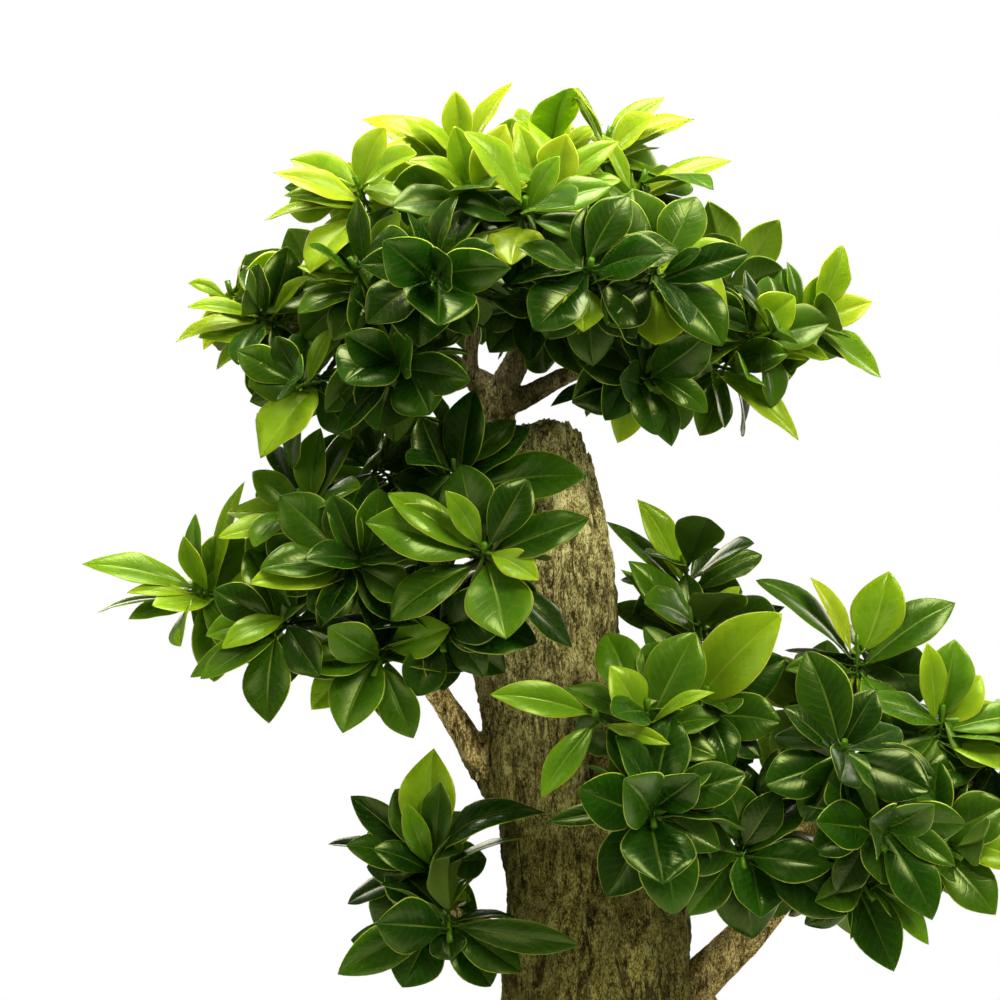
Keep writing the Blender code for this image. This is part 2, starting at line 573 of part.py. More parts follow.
def make_foot(name):
    """One foot, flat underneath, reaching a little way up into the floor of the pot."""
    rings = []
    for inset, z in ((FOOT_EDGE, 0.0), (0.0, FOOT_EDGE), (0.0, FOOT_HEIGHT + POT_FLOOR / 2)):
        length = FOOT_LENGTH - 2 * inset
        width = FOOT_WIDTH - 2 * inset
        rings.append(rounded_rectangle(length, width, FOOT_CORNER_RADIUS - inset, z))
    return object_from(name, stack(rings))


def make_cylinder(name, radius, place, bottom, top, sides=20):
    turns = [math.tau * i / sides for i in range(sides)]
    rings = [
        [place + Vector((radius * math.cos(a), radius * math.sin(a), z)) for a in turns]
        for z in (bottom, top)
    ]
    return object_from(name, stack(rings))


def make_screen(name, place):
    """A square of plastic mesh: a grid of bars, one solid, lying on the floor over a drain hole."""
    bm = bmesh.new()
    pitch = (SCREEN_SIDE - SCREEN_BAR) / SCREEN_CELLS
    cuts = []
    for i in range(SCREEN_CELLS + 1):
        cuts += [i * pitch, i * pitch + SCREEN_BAR]
    count = len(cuts)
    half = SCREEN_SIDE / 2
    grid = [[bm.verts.new((x - half, y - half, 0)) for y in cuts] for x in cuts]
    for i in range(count - 1):
        for j in range(count - 1):
            if i % 2 == 0 or j % 2 == 0:
                bm.faces.new((grid[i][j], grid[i + 1][j], grid[i + 1][j + 1], grid[i][j + 1]))
    raised = bmesh.ops.extrude_face_region(bm, geom=bm.faces[:])
    top = [element for element in raised["geom"] if isinstance(element, bmesh.types.BMVert)]
    bmesh.ops.translate(bm, verts=top, vec=(0, 0, SCREEN_THICKNESS))
    screen = object_from(name, bm, SCREEN_PLASTIC)
    screen.location = place + Vector((0, 0, FLOOR_TOP + FIT_GAP))
    return screen


def make_soil(bole_cutter):
    """The potting mix: it fills the pot, rises a little to the middle, and closes round the roots."""
    bottom = FLOOR_TOP + FIT_GAP
    heights = wall_heights(bottom, SOIL_LEVEL, 4)
    rings = [pot_outline(cavity_inset(z) + FIT_GAP, z) for z in heights]
    edge = rings[-1]
    for share in SOIL_RISES:
        rise = SOIL_CROWN * (1 - share ** 2)
        rings.append([Vector((p.x * share, p.y * share, SOIL_LEVEL + rise)) for p in edge])
    soil = object_from("soil", stack(rings, top=Vector((0, 0, SOIL_LEVEL + SOIL_CROWN))), SOIL_MIX)
    boolean(soil, "DIFFERENCE", bole_cutter)
    pocket = SCREEN_SIDE + 2 * FIT_GAP
    for number, place in enumerate(drain_places()):
        top = FLOOR_TOP + SCREEN_THICKNESS + 2 * FIT_GAP
        rings = [rounded_rectangle(pocket, pocket, 0.0005, z) for z in (FLOOR_TOP / 2, top)]
        rings = [[point + place for point in ring] for ring in rings]
        boolean(soil, "DIFFERENCE", helper(object_from(f"screen_pocket_{number}", stack(rings))))
    return soil


# ---- Wood ----


def tree_point(x, y, z):
    return Vector((x, y, z)) * MM * TREE_SCALE + Vector((0, 0, SOIL_LEVEL))


def bole_rings(rows, grow=0.0):
    """Level rings round the bole. Grow moves the surface out, for the soil that closes round it."""
    rings = []
    for x, y, z, radius, lobes in rows:
        middle = tree_point(x, y, z)
        ring = []
        for i in range(BOLE_SIDES):
            turn = math.tau * i / BOLE_SIDES
            swell = 1 + lobes * math.cos(ROOT_LOBES * turn + 0.9) + 0.3 * lobes * math.cos(2 * turn)
            reach = radius * MM * GIRTH_SCALE * swell + grow
            ring.append(middle + reach * Vector((math.cos(turn), math.sin(turn), 0)))
        rings.append(ring)
    return rings


def make_bole():
    rings = bole_rings(BOLE)
    ragged = [0, 3, 1, 4, 2, 5, 1, 0, 2, 4, 1, 3, 0, 2, 5, 3, 1, 2]
    for point, drop in zip(rings[-1], ragged):
        point.z -= drop * MM
    x, y, z = BOLE[-1][:3]
    return object_from("trunk", stack(rings, top=tree_point(x, y, z - 3)), BARK, 60)


def make_bole_cutter():
    """The bole from its base to well above the soil, a fit gap larger all round."""
    rows = [row for row in BOLE if row[2] <= 60]
    rings = bole_rings(rows, FIT_GAP)
    for point in rings[0]:
        point.z -= FIT_GAP
    return helper(object_from("bole_cutter", stack(rings)))


def smooth_route(points, steps):
    """Points of x, y, z and radius along a Catmull-Rom curve through the given ones."""
    knots = [points[0], *points, points[-1]]
    route = []
    for a, b, c, d in zip(knots, knots[1:], knots[2:], knots[3:]):
        for step in range(steps):
            t = step / steps
            route.append([
                0.5 * (2 * q + (r - p) * t + (2 * p - 5 * q + 4 * r - s) * t ** 2
                       + (3 * q - p - 3 * r + s) * t ** 3)
                for p, q, r, s in zip(a, b, c, d)
            ])
    route.append(list(points[-1]))
    return route


def tube(name, points, radii, sides):
    """A closed tube along points, with flat ends square to its route."""
    count = len(points)
    across = None
    rings = []
    for i, (point, radius) in enumerate(zip(points, radii)):
        along = (points[min(i + 1, count - 1)] - points[max(i - 1, 0)]).normalized()
        if across is None:
            across = along.orthogonal()
        across = (across - along * across.dot(along)).normalized()
        third = along.cross(across)
        ring = []
        for side in range(sides):
            turn = math.tau * side / sides
            ring.append(point + radius * (math.cos(turn) * across + math.sin(turn) * third))
        rings.append(ring)
    return helper(object_from(name, stack(rings)))


def limb_route(name):
    """(points, radii) of a limb, in metres."""
    route = smooth_route(LIMBS[name][1], LIMB_STEPS)
    points = [tree_point(x, y, z) for x, y, z, _ in route]
    return points, [radius * MM * GIRTH_SCALE for *_, radius in route]


def heading(clock, lean):
    turn = math.radians(clock)
    tip = math.radians(lean)
    return Vector((math.cos(turn) * math.cos(tip), -math.sin(tip), math.sin(turn) * math.cos(tip)))


def twig_route(limb, foot, along):
    """(points, radii) of the woody twig that curves from a limb to a shoot's foot."""
    points, radii = limb_route(limb)
    end = foot - along * FIT_GAP
    gaps = [(point - end).length for point in points]
    # A twig leaves its limb below the spray, so the nearest point is taken a little back along it.
    nearest = max(gaps.index(min(gaps)) - 1, 1)
    start = points[nearest]
    # The last stretch is straight, so that the twig's end is square to the shoot.
    bend = end - along * TWIG_END
    reach = (bend - start).length
    leaving = (points[min(nearest + 1, len(points) - 1)] - points[nearest - 1]).normalized()
    first = start + leaving * reach * 0.35
    second = bend - along * min(reach * 0.45, 0.030)
    thick = max(min(radii[nearest] * 0.7, TWIG_RADIUS), SPROUT_RADIUS)
    route = []
    for step in range(TWIG_STEPS + 1):
        t = step / TWIG_STEPS
        route.append(
            start * (1 - t) ** 3 + first * 3 * t * (1 - t) ** 2
            + second * 3 * t ** 2 * (1 - t) + bend * t ** 3
        )
    taper = [thick + (SPROUT_RADIUS - thick) * (i / TWIG_STEPS) ** 0.7 for i in range(TWIG_STEPS + 1)]
    return route + [end], taper + [SPROUT_RADIUS]


def make_trunk():
    """The bole with every limb and twig grown together with it. Also returns the plain tubes."""
    wood = bpy.data.collections.new("limbs_and_twigs")
    bpy.context.scene.collection.children.link(wood)
    tubes = []
    for name, (sides, _) in LIMBS.items():
        tubes.append(tube(name, *limb_route(name), sides))
    for name, (limb, foot, facing, _) in SPRAYS.items():
        route = twig_route(limb, tree_point(*foot), heading(*facing))
        tubes.append(tube(name + "_twig", *route, TWIG_SIDES))
    for obj in tubes:
        bpy.context.scene.collection.objects.unlink(obj)
        wood.objects.link(obj)
    trunk = make_bole()
    bare_mesh = trunk.data
    boolean(trunk, "UNION", wood)
    return trunk, [bare_mesh] + [obj.data for obj in tubes]


# ---- Leaf sprays ----


def tree_of(points, faces):
    return BVHTree.FromPolygons([tuple(point) for point in points], faces)


class Obstacle:
    """A closed shape that leaves keep clear of, with a sphere round it for a quick first test."""

    def __init__(self, owner, points, faces):
        self.owner = owner
        self.middle = sum(points, Vector()) / len(points)
        self.reach = max((point - self.middle).length for point in points)
        self.surface = tree_of(points, faces)

    def hits(self, other):
        if (self.middle - other.middle).length > self.reach + other.reach:
            return False
        return bool(self.surface.overlap(other.surface))


def ring_faces(rings):
    """Triangle indices over rings of four points and a tip, for rings listed one after another."""
    faces = [(0, 1, 2), (0, 2, 3)]
    for k in range(len(rings) - 1):
        for i in range(4):
            j = (i + 1) % 4
            faces.append((4 * k + i, 4 * k + j, 4 * k + 4 + j))
            faces.append((4 * k + i, 4 * k + 4 + j, 4 * k + 4 + i))
    last = 4 * (len(rings) - 1)
    tip = last + 4
    for i in range(4):
        faces.append((last + i, last + (i + 1) % 4, tip))
    return faces


class Leaf:
    """One leaf: the ring where its stalk ends, the ring where its blade is widest, and its tip."""

    def __init__(self, foot, outward, along, up, length, share, arch, swell=0.0):
        self.along = along
        up = (up - along * up.dot(along)).normalized()
        side = along.cross(up)
        self.stalk = (outward * STALK_OUTWARD + along * (1 - STALK_OUTWARD)).normalized()
        neck = foot + self.stalk * STALK_LENGTH
        self.tip = foot + along * (length + swell)
        half = STALK_HALF_WIDTH + swell
        thick = STALK_HALF_THICKNESS + swell
        self.rings = [[neck - side * half, neck - up * thick, neck + side * half, neck + up * thick]]
        # The blade's edges stand higher than its midrib.
        middle = neck.lerp(self.tip, LEAF_WIDEST_AT) + up * arch * length
        half = length * share / 2 + swell
        lift = up * half * LEAF_FOLD
        thick = up * (LEAF_THICKNESS / 2 + swell)
        self.rings.append([middle - side * half + lift, middle - thick, middle + side * half + lift, middle + thick])

    def from_base(self, base):
        """The base ring's points in the order that joins the stalk's end with the least twist."""
        middle = sum(base, Vector()) / 4

        def sense(ring, centre, ahead):
            return sum((a - centre).cross(b - centre).dot(ahead) for a, b in zip(ring, ring[1:]))

        first = self.rings[0]
        centre = sum(first, Vector()) / 4
        order = [0, 1, 2, 3]
        if (sense(base, middle, self.stalk) > 0) != (sense(first, centre, self.along) > 0):
            order.reverse()
        turns = [order[k:] + order[:k] for k in range(4)]

        def twist(turn):
            return sum(((base[i] - middle) - (p - centre)).length_squared for i, p in zip(turn, first))

        return min(turns, key=twist)


class Shoot:
    """The green shoot of a spray: a four-sided stem, with one leaf on each side that is taken."""

    def __init__(self, name, foot, along, leaf_count):
        self.name = name
        self.foot = foot
        self.along = along
        self.levels = BARE_NODES + math.ceil(leaf_count / 2) + 1
        across = along.orthogonal().normalized()
        third = along.cross(across)
        self.rings = []
        for level in range(self.levels):
            radius = SPROUT_RADIUS * (1.12 if level % 2 else 0.96)
            ring = []
            for side in range(4):
                turn = math.tau * side / 4 + 0.35 * level
                out = math.cos(turn) * across + math.sin(turn) * third
                ring.append(foot + along * NODE_SPACING * level + radius * out)
            self.rings.append(ring)
        self.bud = foot + along * (NODE_SPACING * (self.levels - 1) + BUD_LENGTH)
        self.leaves = {}

    def points(self):
        return [point for ring in self.rings for point in ring] + [self.bud]

    def base(self, place):
        level, side = place
        after = (side + 1) % 4
        lower, upper = self.rings[level], self.rings[level + 1]
        return [lower[side], lower[after], upper[after], upper[side]]

    def out(self, place):
        middle = sum(self.base(place), Vector()) / 4
        away = middle - self.foot
        return middle, (away - self.along * away.dot(self.along)).normalized()

    def places_for(self, level, along):
        """Free places on the side that a leaf heads to, one a level, from the nearest level on."""
        levels = sorted(range(BARE_NODES, self.levels - 1), key=lambda each: abs(each - level))
        found = []
        for near in levels[:LEVELS_TRIED]:
            free = [(near, side) for side in range(4) if (near, side) not in self.leaves]
            facing = [(self.out(place)[1].dot(along), place) for place in free]
            if facing and max(facing)[0] > LEAST_FACING:
                found.append(max(facing)[1])
        return found

    def mesh(self):
        bm = bmesh.new()
        rings = [[bm.verts.new(point) for point in ring] for ring in self.rings]
        fan(bm, rings[0], self.foot)
        bud = bm.verts.new(self.bud)
        for side in range(4):
            bm.faces.new((rings[-1][side], rings[-1][(side + 1) % 4], bud))
        for level in range(self.levels - 1):
            for side in range(4):
                after = (side + 1) % 4
                lower, upper = rings[level], rings[level + 1]
                corners = (lower[side], lower[after], upper[after], upper[side])
                leaf = self.leaves.get((level, side))
                if leaf is None:
                    bm.faces.new((corners[0], corners[1], corners[2]))
                    bm.faces.new((corners[0], corners[2], corners[3]))
                    continue
                order = leaf.from_base([vertex.co for vertex in corners])
                rows = [[corners[i] for i in order]]
                rows += [[bm.verts.new(point) for point in ring] for ring in leaf.rings]
                for low, high in zip(rows, rows[1:]):
                    skin(bm, low, high)
                tip = bm.verts.new(leaf.tip)
                for i in range(4):
                    bm.faces.new((rows[-1][i], rows[-1][(i + 1) % 4], tip))
        return object_from(self.name, bm, LEAF_GREEN)


def closed_rings(owner, rings, tip):
    points = [point for ring in rings for point in ring] + [tip]
    return Obstacle(owner, points, ring_faces(rings))


def leaf_obstacles(shoot, place, leaf, free_from):
    """The leaf as other sprays meet it, whole, and as its own spray meets it: its stalk and its blade.

    The stalk grows out of the shoot, so its own spray meets it from a share of its length out.
    """
    base = shoot.base(place)
    whole = [[base[i] for i in leaf.from_base(base)], *leaf.rings]
    off_shoot = [inner.lerp(outer, free_from) for inner, outer in zip(whole[0], whole[1])]
    neck = sum(whole[1], Vector()) / 4
    stalk = closed_rings(shoot.name, [off_shoot, whole[1]], neck)
    blade = closed_rings(shoot.name, leaf.rings, leaf.tip)
    return closed_rings(shoot.name, whole, leaf.tip), (stalk, blade)


class Grove:
    """Everything that has grown so far, and the search for room for the next leaf."""

    def __init__(self, wood_meshes):
        self.wood = []
        for mesh in wood_meshes:
            points = [vertex.co.copy() for vertex in mesh.vertices]
            faces = [tuple(polygon.vertices) for polygon in mesh.polygons]
            self.wood.append(Obstacle("wood", points, faces))
        self.whole = []
        self.shoots = {}
        self.leaves = {}

    def add_shoot(self, shoot):
        obstacle = closed_rings(shoot.name, shoot.rings, shoot.bud)
        self.whole.append(obstacle)
        self.shoots[shoot.name] = obstacle
        self.leaves[shoot.name] = []

    def is_clear(self, shoot, place, leaf):
        whole, own = leaf_obstacles(shoot, place, leaf, STALK_FREE_FROM)
        near = [self.shoots[shoot.name], *self.leaves[shoot.name]]
        if any(part.hits(other) for part in own for other in near):
            return False
        if any(whole.hits(other) for other in self.wood):
            return False
        return not any(whole.hits(other) for other in self.whole if other.owner != shoot.name)

    def grow(self, shoot, level, clock_lean, length, share, arch):
        """Puts a leaf on the shoot, turned aside as little as it can be. It returns None if none fits."""
        turns = [(clock, lean) for clock in CLOCK_TRIES for lean in LEAN_TRIES]
        turns.sort(key=lambda turn: abs(turn[0]) + abs(turn[1]))
        for size in LENGTH_TRIES:
            for roll in ROLL_TRIES:
                for clock, lean in turns:
                    along = heading(clock_lean[0] + clock, clock_lean[1] + lean)
                    for place in shoot.places_for(level, along):
                        if self.try_leaf(shoot, place, along, length * size, share, arch, roll):
                            return True
        return False

    def try_leaf(self, shoot, place, along, length, share, arch, roll):
        middle, outward = shoot.out(place)
        up = leaf_face(shoot, along, roll)
        swollen = Leaf(middle, outward, along, up, length, share, arch, LEAF_CLEARANCE)
        if not self.is_clear(shoot, place, swollen):
            return False
        leaf = Leaf(middle, outward, along, up, length, share, arch)
        whole, own = leaf_obstacles(shoot, place, leaf, STALK_ROOT)
        near = [self.shoots[shoot.name], *self.leaves[shoot.name]]
        if any(part.hits(other) for part in own for other in near):
            return False
        self.whole.append(whole)
        self.leaves[shoot.name] += own
        shoot.leaves[place] = leaf
        return True


def leaf_face(shoot, along, roll):
    """Which way a leaf's upper side looks: towards the shoot's end, the sky and the open side."""
    outward = Vector((shoot.foot.x, shoot.foot.y, 0)).normalized()
    open_side = Vector((0, 1 if shoot.foot.y > BACK_SPRAY_DEPTH else -1, 0))
    to_end, to_sky, to_outside, to_open_side = FACING_WEIGHTS
    up = shoot.along * to_end + outward * to_outside + open_side * to_open_side
    up += Vector((0, 0, to_sky))
    up = (up - along * up.dot(along)).normalized()
    turn = math.radians(roll)
    return up * math.cos(turn) + along.cross(up) * math.sin(turn)


def level_of(index):
    return BARE_NODES + index // 2


def grow_chosen(grove, shoot, leaves):
    for index, (clock, lean, length, share, *arch) in enumerate(leaves):
        bend = arch[0] if arch else LEAF_ARCH
        grove.grow(shoot, level_of(index), (clock, lean), length * MM * LEAF_SCALE, share, bend)


def grow_filling(grove, shoot, wanted):
    """Fills the gaps round a shoot with ordinary leaves, a golden angle apart, until it has enough."""
    across = shoot.along.orthogonal().normalized()
    third = shoot.along.cross(across)
    index = len(shoot.leaves)
    for step in range(FILLING_TRIES):
        if len(shoot.leaves) >= wanted:
            return
        turn = step * math.radians(GOLDEN_ANGLE)
        opening = math.radians(FIRST_OPENING - OPENING_STEP * step)
        out = math.cos(turn) * across + math.sin(turn) * third
        along = (shoot.along * math.cos(opening) + out * math.sin(opening)).normalized()
        if any(leaf.along.dot(along) > LEAST_APART for leaf in shoot.leaves.values()):
            continue
        level = min(level_of(index), shoot.levels - 2)
        lean = math.degrees(math.asin(-along.y))
        clock = math.degrees(math.atan2(along.z, along.x))
        length = FILLING_LENGTHS[step % len(FILLING_LENGTHS)] * LEAF_SCALE
        share = FILLING_SHARES[step % len(FILLING_SHARES)]
        if grove.grow(shoot, level, (clock, lean), length, share, LEAF_ARCH):
            index += 1


def make_sprays(wood_meshes):
    grove = Grove(wood_meshes)
    shoots = []
    for name, (_, foot, facing, leaves) in SPRAYS.items():
        wanted = len(leaves) if name in SPARSE_SPRAYS else max(len(leaves), LEAVES_PER_SPRAY)
        shoot = Shoot(name, tree_point(*foot), heading(*facing), wanted)
        grove.add_shoot(shoot)
        shoots.append((shoot, leaves, wanted))
    for shoot, leaves, _ in shoots:
        grow_chosen(grove, shoot, leaves)
    for shoot, _, wanted in shoots:
        grow_filling(grove, shoot, wanted)
    return [shoot.mesh() for shoot, _, _ in shoots]


def main():
    clear_scene()
    make_pot()
    for side, place in zip(("left", "right"), drain_places()):
        make_screen(f"drainage_screen_{side}", place)
    make_soil(make_bole_cutter())
    _, wood_meshes = make_trunk()
    make_sprays(wood_meshes)


main()
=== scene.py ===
"""Looks for a ficus bonsai in a stoneware pot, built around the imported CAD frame.

Every leaf spray of the frame is read as a cage: where each leaf leaves its shoot, where its stalk
ends, where its blade is widest and which way its upper side looks, and its tip. A real leaf is then
lofted over each cage. The wood is remeshed and given bark, and the pot and soil get finer surfaces.
"""

import math
import random
import zlib
from types import SimpleNamespace

import bmesh
import bpy
import numpy as np
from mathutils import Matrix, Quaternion, Vector, noise
from mathutils.bvhtree import BVHTree


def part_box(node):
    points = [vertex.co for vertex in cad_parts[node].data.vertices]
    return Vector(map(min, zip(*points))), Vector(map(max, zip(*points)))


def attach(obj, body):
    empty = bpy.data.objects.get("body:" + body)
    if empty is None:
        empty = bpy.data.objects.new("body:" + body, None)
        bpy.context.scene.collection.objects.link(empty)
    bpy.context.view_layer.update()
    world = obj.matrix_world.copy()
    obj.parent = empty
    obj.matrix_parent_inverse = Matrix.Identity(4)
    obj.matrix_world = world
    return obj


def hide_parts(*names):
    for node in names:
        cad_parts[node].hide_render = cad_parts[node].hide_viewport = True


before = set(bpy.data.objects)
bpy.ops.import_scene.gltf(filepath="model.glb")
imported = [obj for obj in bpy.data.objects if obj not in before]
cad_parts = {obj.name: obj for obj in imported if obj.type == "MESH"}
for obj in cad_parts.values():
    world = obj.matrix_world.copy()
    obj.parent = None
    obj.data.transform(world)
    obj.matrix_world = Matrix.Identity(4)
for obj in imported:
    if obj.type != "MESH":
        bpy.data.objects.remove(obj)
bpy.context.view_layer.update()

MM = 0.001
VIEW_DISTANCE = 1.535
VIEW_X = -0.0432
VIEW_Z = 0.5197


def unit(value):
    """The value, held between 0 and 1."""
    return min(max(value, 0.0), 1.0)


def linked(name, data):
    """A new object in the scene that shows this data."""
    obj = bpy.data.objects.new(name, data)
    bpy.context.scene.collection.objects.link(obj)
    return obj


def read_numbers(items, key, width, kind=np.float32):
    """One kind of number of a mesh's vertices, edges or triangles, a row for each."""
    values = np.empty(len(items) * width, kind)
    items.foreach_get(key, values)
    return values.reshape(-1, width)


def paint(mesh, name, domain, tones):
    """Keeps four numbers for each point or corner of a mesh, for its material to read."""
    layer = mesh.color_attributes.new(name, "FLOAT_COLOR", domain)
    layer.data.foreach_set("color", np.array(tones, np.float32).reshape(-1))


# ---- Node materials ----

class Graph:
    """A Principled material and short ways to add nodes to it."""

    def __init__(self, name):
        self.material = bpy.data.materials.new(name)
        self.material.use_nodes = True
        self.tree = self.material.node_tree
        self.shader = self.tree.nodes["Principled BSDF"]

    def node(self, kind, **settings):
        made = self.tree.nodes.new("ShaderNode" + kind)
        for key, value in settings.items():
            setattr(made, key, value)
        return made

    def put(self, socket, value):
        if isinstance(value, bpy.types.NodeSocket):
            self.tree.links.new(value, socket)
        elif socket.type == "RGBA" and len(value) == 3:
            socket.default_value = (*value, 1.0)
        else:
            socket.default_value = value

    def made(self, kind, result, inputs, **settings):
        """One output of a new node that has these inputs."""
        node = self.node(kind, **settings)
        for name, value in inputs.items():
            self.put(node.inputs[name], value)
        return node.outputs[result]

    def math(self, operation, a, b=0.0):
        return self.made("Math", "Value", {0: a, 1: b}, operation=operation)

    def times(self, a, b):
        return self.math("MULTIPLY", a, b)

    def plus(self, a, b):
        return self.math("ADD", a, b)

    def off_middle(self, value):
        """How far a noise is from its middle value."""
        return self.math("ABSOLUTE", self.math("SUBTRACT", value, 0.5))

    def mix(self, factor, a, b, blend="MIX"):
        inputs = {"Factor": factor, "A": a, "B": b}
        return self.made("Mix", "Result", inputs, data_type="RGBA", blend_type=blend)

    def tint(self, colour, by):
        """The colour times another."""
        return self.mix(1.0, colour, by, "MULTIPLY")

    def wash(self, share, colour, by):
        """The colour, drawn by share towards itself times another."""
        return self.mix(share, colour, self.tint(colour, by))

    def range(self, value, low, high, to_low, to_high, kind="LINEAR"):
        ends = {"From Min": low, "From Max": high, "To Min": to_low, "To Max": to_high}
        return self.made("MapRange", "Result", {"Value": value, **ends}, interpolation_type=kind)

    def step(self, value, low, high):
        """0 below low, 1 above high, smooth between. Low may be above high, to turn it round."""
        return self.range(value, low, high, 0.0, 1.0, "SMOOTHSTEP")

    def noise(self, vector, scale, detail=4.0, rough=0.55):
        inputs = {"Vector": vector, "Scale": scale, "Detail": detail, "Roughness": rough}
        return self.made("TexNoise", "Fac", inputs)

    def bump(self, height, distance, strength):
        inputs = {"Height": height, "Distance": distance, "Strength": strength}
        return self.made("Bump", "Normal", inputs)

    def place(self, scale=(1, 1, 1)):
        """The object's own coordinates, in metres, stretched by scale."""
        own = self.node("TexCoord").outputs["Object"]
        return self.made("Mapping", "Vector", {"Vector": own, "Scale": scale})

    def parts(self, value, kind="SeparateXYZ"):
        """The separate numbers of a vector or colour."""
        made = self.node(kind)
        self.put(made.inputs[0], value)
        return made.outputs

    def ramp(self, factor, stops):
        made = self.node("ValToRGB")
        self.put(made.inputs["Fac"], factor)
        elements = made.color_ramp.elements
        while len(elements) < len(stops):
            elements.new(0.5)
        for element, (place, colour) in zip(elements, stops):
            element.position = place
            element.color = (*colour, 1.0)
        return made.outputs["Color"]

    def attribute(self, name):
        """The red, green and blue parts of a colour attribute."""
        colour = self.node("Attribute", attribute_name=name).outputs["Color"]
        return self.parts(colour, "SeparateColor")

    def finish(self, **inputs):
        """Sets the shader's sockets, each named with _ for a space, and gives the material."""
        for name, value in inputs.items():
            self.put(self.shader.inputs[name.replace("_", " ")], value)
        return self.material


def leaf_material():
    """Waxy leaf: tone runs from dark green to lime with the leaf's age, with a pale midrib, a painted
    glow towards the margins and tip, and a pale rim brightened into a painted highlight.
    """
    g = Graph("waxy_leaf")
    age, lot, under = g.attribute("leaf_tone")[0:3]
    place = g.parts(g.node("UVMap", uv_map="leaf").outputs["UV"])
    across = g.math("ABSOLUTE", g.range(place["X"], 0, 1, -1, 1))
    along = place["Y"]
    here = g.place()
    mottle = g.noise(here, 75, 3)
    # Side veins leave the midrib forwards, about nine to a side.
    slant = g.math("SUBTRACT", along, g.times(across, 0.22))
    wobble = g.times(g.noise(here, 130, 2), 0.05)
    wave = g.math("SINE", g.times(g.plus(slant, wobble), 62))
    vein = g.math("POWER", g.range(wave, -1, 1, 0, 1), 9)
    vein = g.times(vein, g.times(g.step(across, 0.96, 0.7), g.step(across, 0.02, 0.12)))
    body = g.mix(lot, (0.0024, 0.018, 0.0008), (0.008, 0.045, 0.0016))
    body = g.mix(g.step(age, 0.08, 0.44), body, (0.064, 0.175, 0.005))
    body = g.mix(g.step(age, 0.36, 0.7), body, (0.185, 0.325, 0.008))
    body = g.mix(g.step(age, 0.7, 1), body, (0.35, 0.45, 0.02))
    body = g.wash(g.range(mottle, 0.3, 0.7, 0, 0.55), body, (0.62, 0.66, 0.55))
    # Painted light: the margins and the tip half glow lighter towards lime, most on dark full-grown
    # leaves.
    edge = g.math("MAXIMUM", g.step(across, 0.45, 1), g.step(along, 0.5, 1))
    edge = g.times(edge, g.range(age, 0.1, 0.8, 0.75, 0.25))
    body = g.wash(edge, body, (2.3, 1.75, 1))
    pale = g.mix(age, (0.15, 0.25, 0.022), (0.52, 0.6, 0.07))
    body = g.mix(g.times(vein, 0.055), body, pale)
    rib = g.math("LESS_THAN", across, g.range(along, 0, 1, 0.06, 0.014))
    rib = g.times(rib, g.range(along, 0, 1, 0.42, 0.2))
    body = g.mix(rib, body, pale)
    # A thin pale rim, brightened beyond the midrib's colour into a painted highlight along the edge.
    rim = g.times(g.step(across, 0.95, 0.985), 0.9)
    body = g.mix(rim, body, g.tint(pale, (1.9, 1.6, 1.8)))
    below = g.mix(age, (0.045, 0.105, 0.016), (0.26, 0.37, 0.028))
    below = g.mix(g.times(vein, 0.18), below, pale)
    below = g.mix(rib, below, pale)
    smudge = g.noise(here, 42, 4, 0.6)
    height = g.plus(g.times(vein, -0.25), g.times(g.noise(here, 420, 3), 0.35))
    height = g.plus(height, g.times(mottle, 0.9))
    return g.finish(
        Base_Color=g.mix(under, body, below),
        Roughness=g.plus(g.range(smudge, 0.35, 0.7, 0.2, 0.36), g.times(under, 0.22)),
        Normal=g.bump(height, 0.00035, 0.45),
        Specular_IOR_Level=0.4,
        Specular_Tint=(0.72, 0.9, 0.3),
        Subsurface_Weight=g.range(age, 0.2, 0.8, 0.35, 0.85),
        Subsurface_Radius=(0.0018, 0.0022, 0.0004),
        Subsurface_Scale=1,
    )


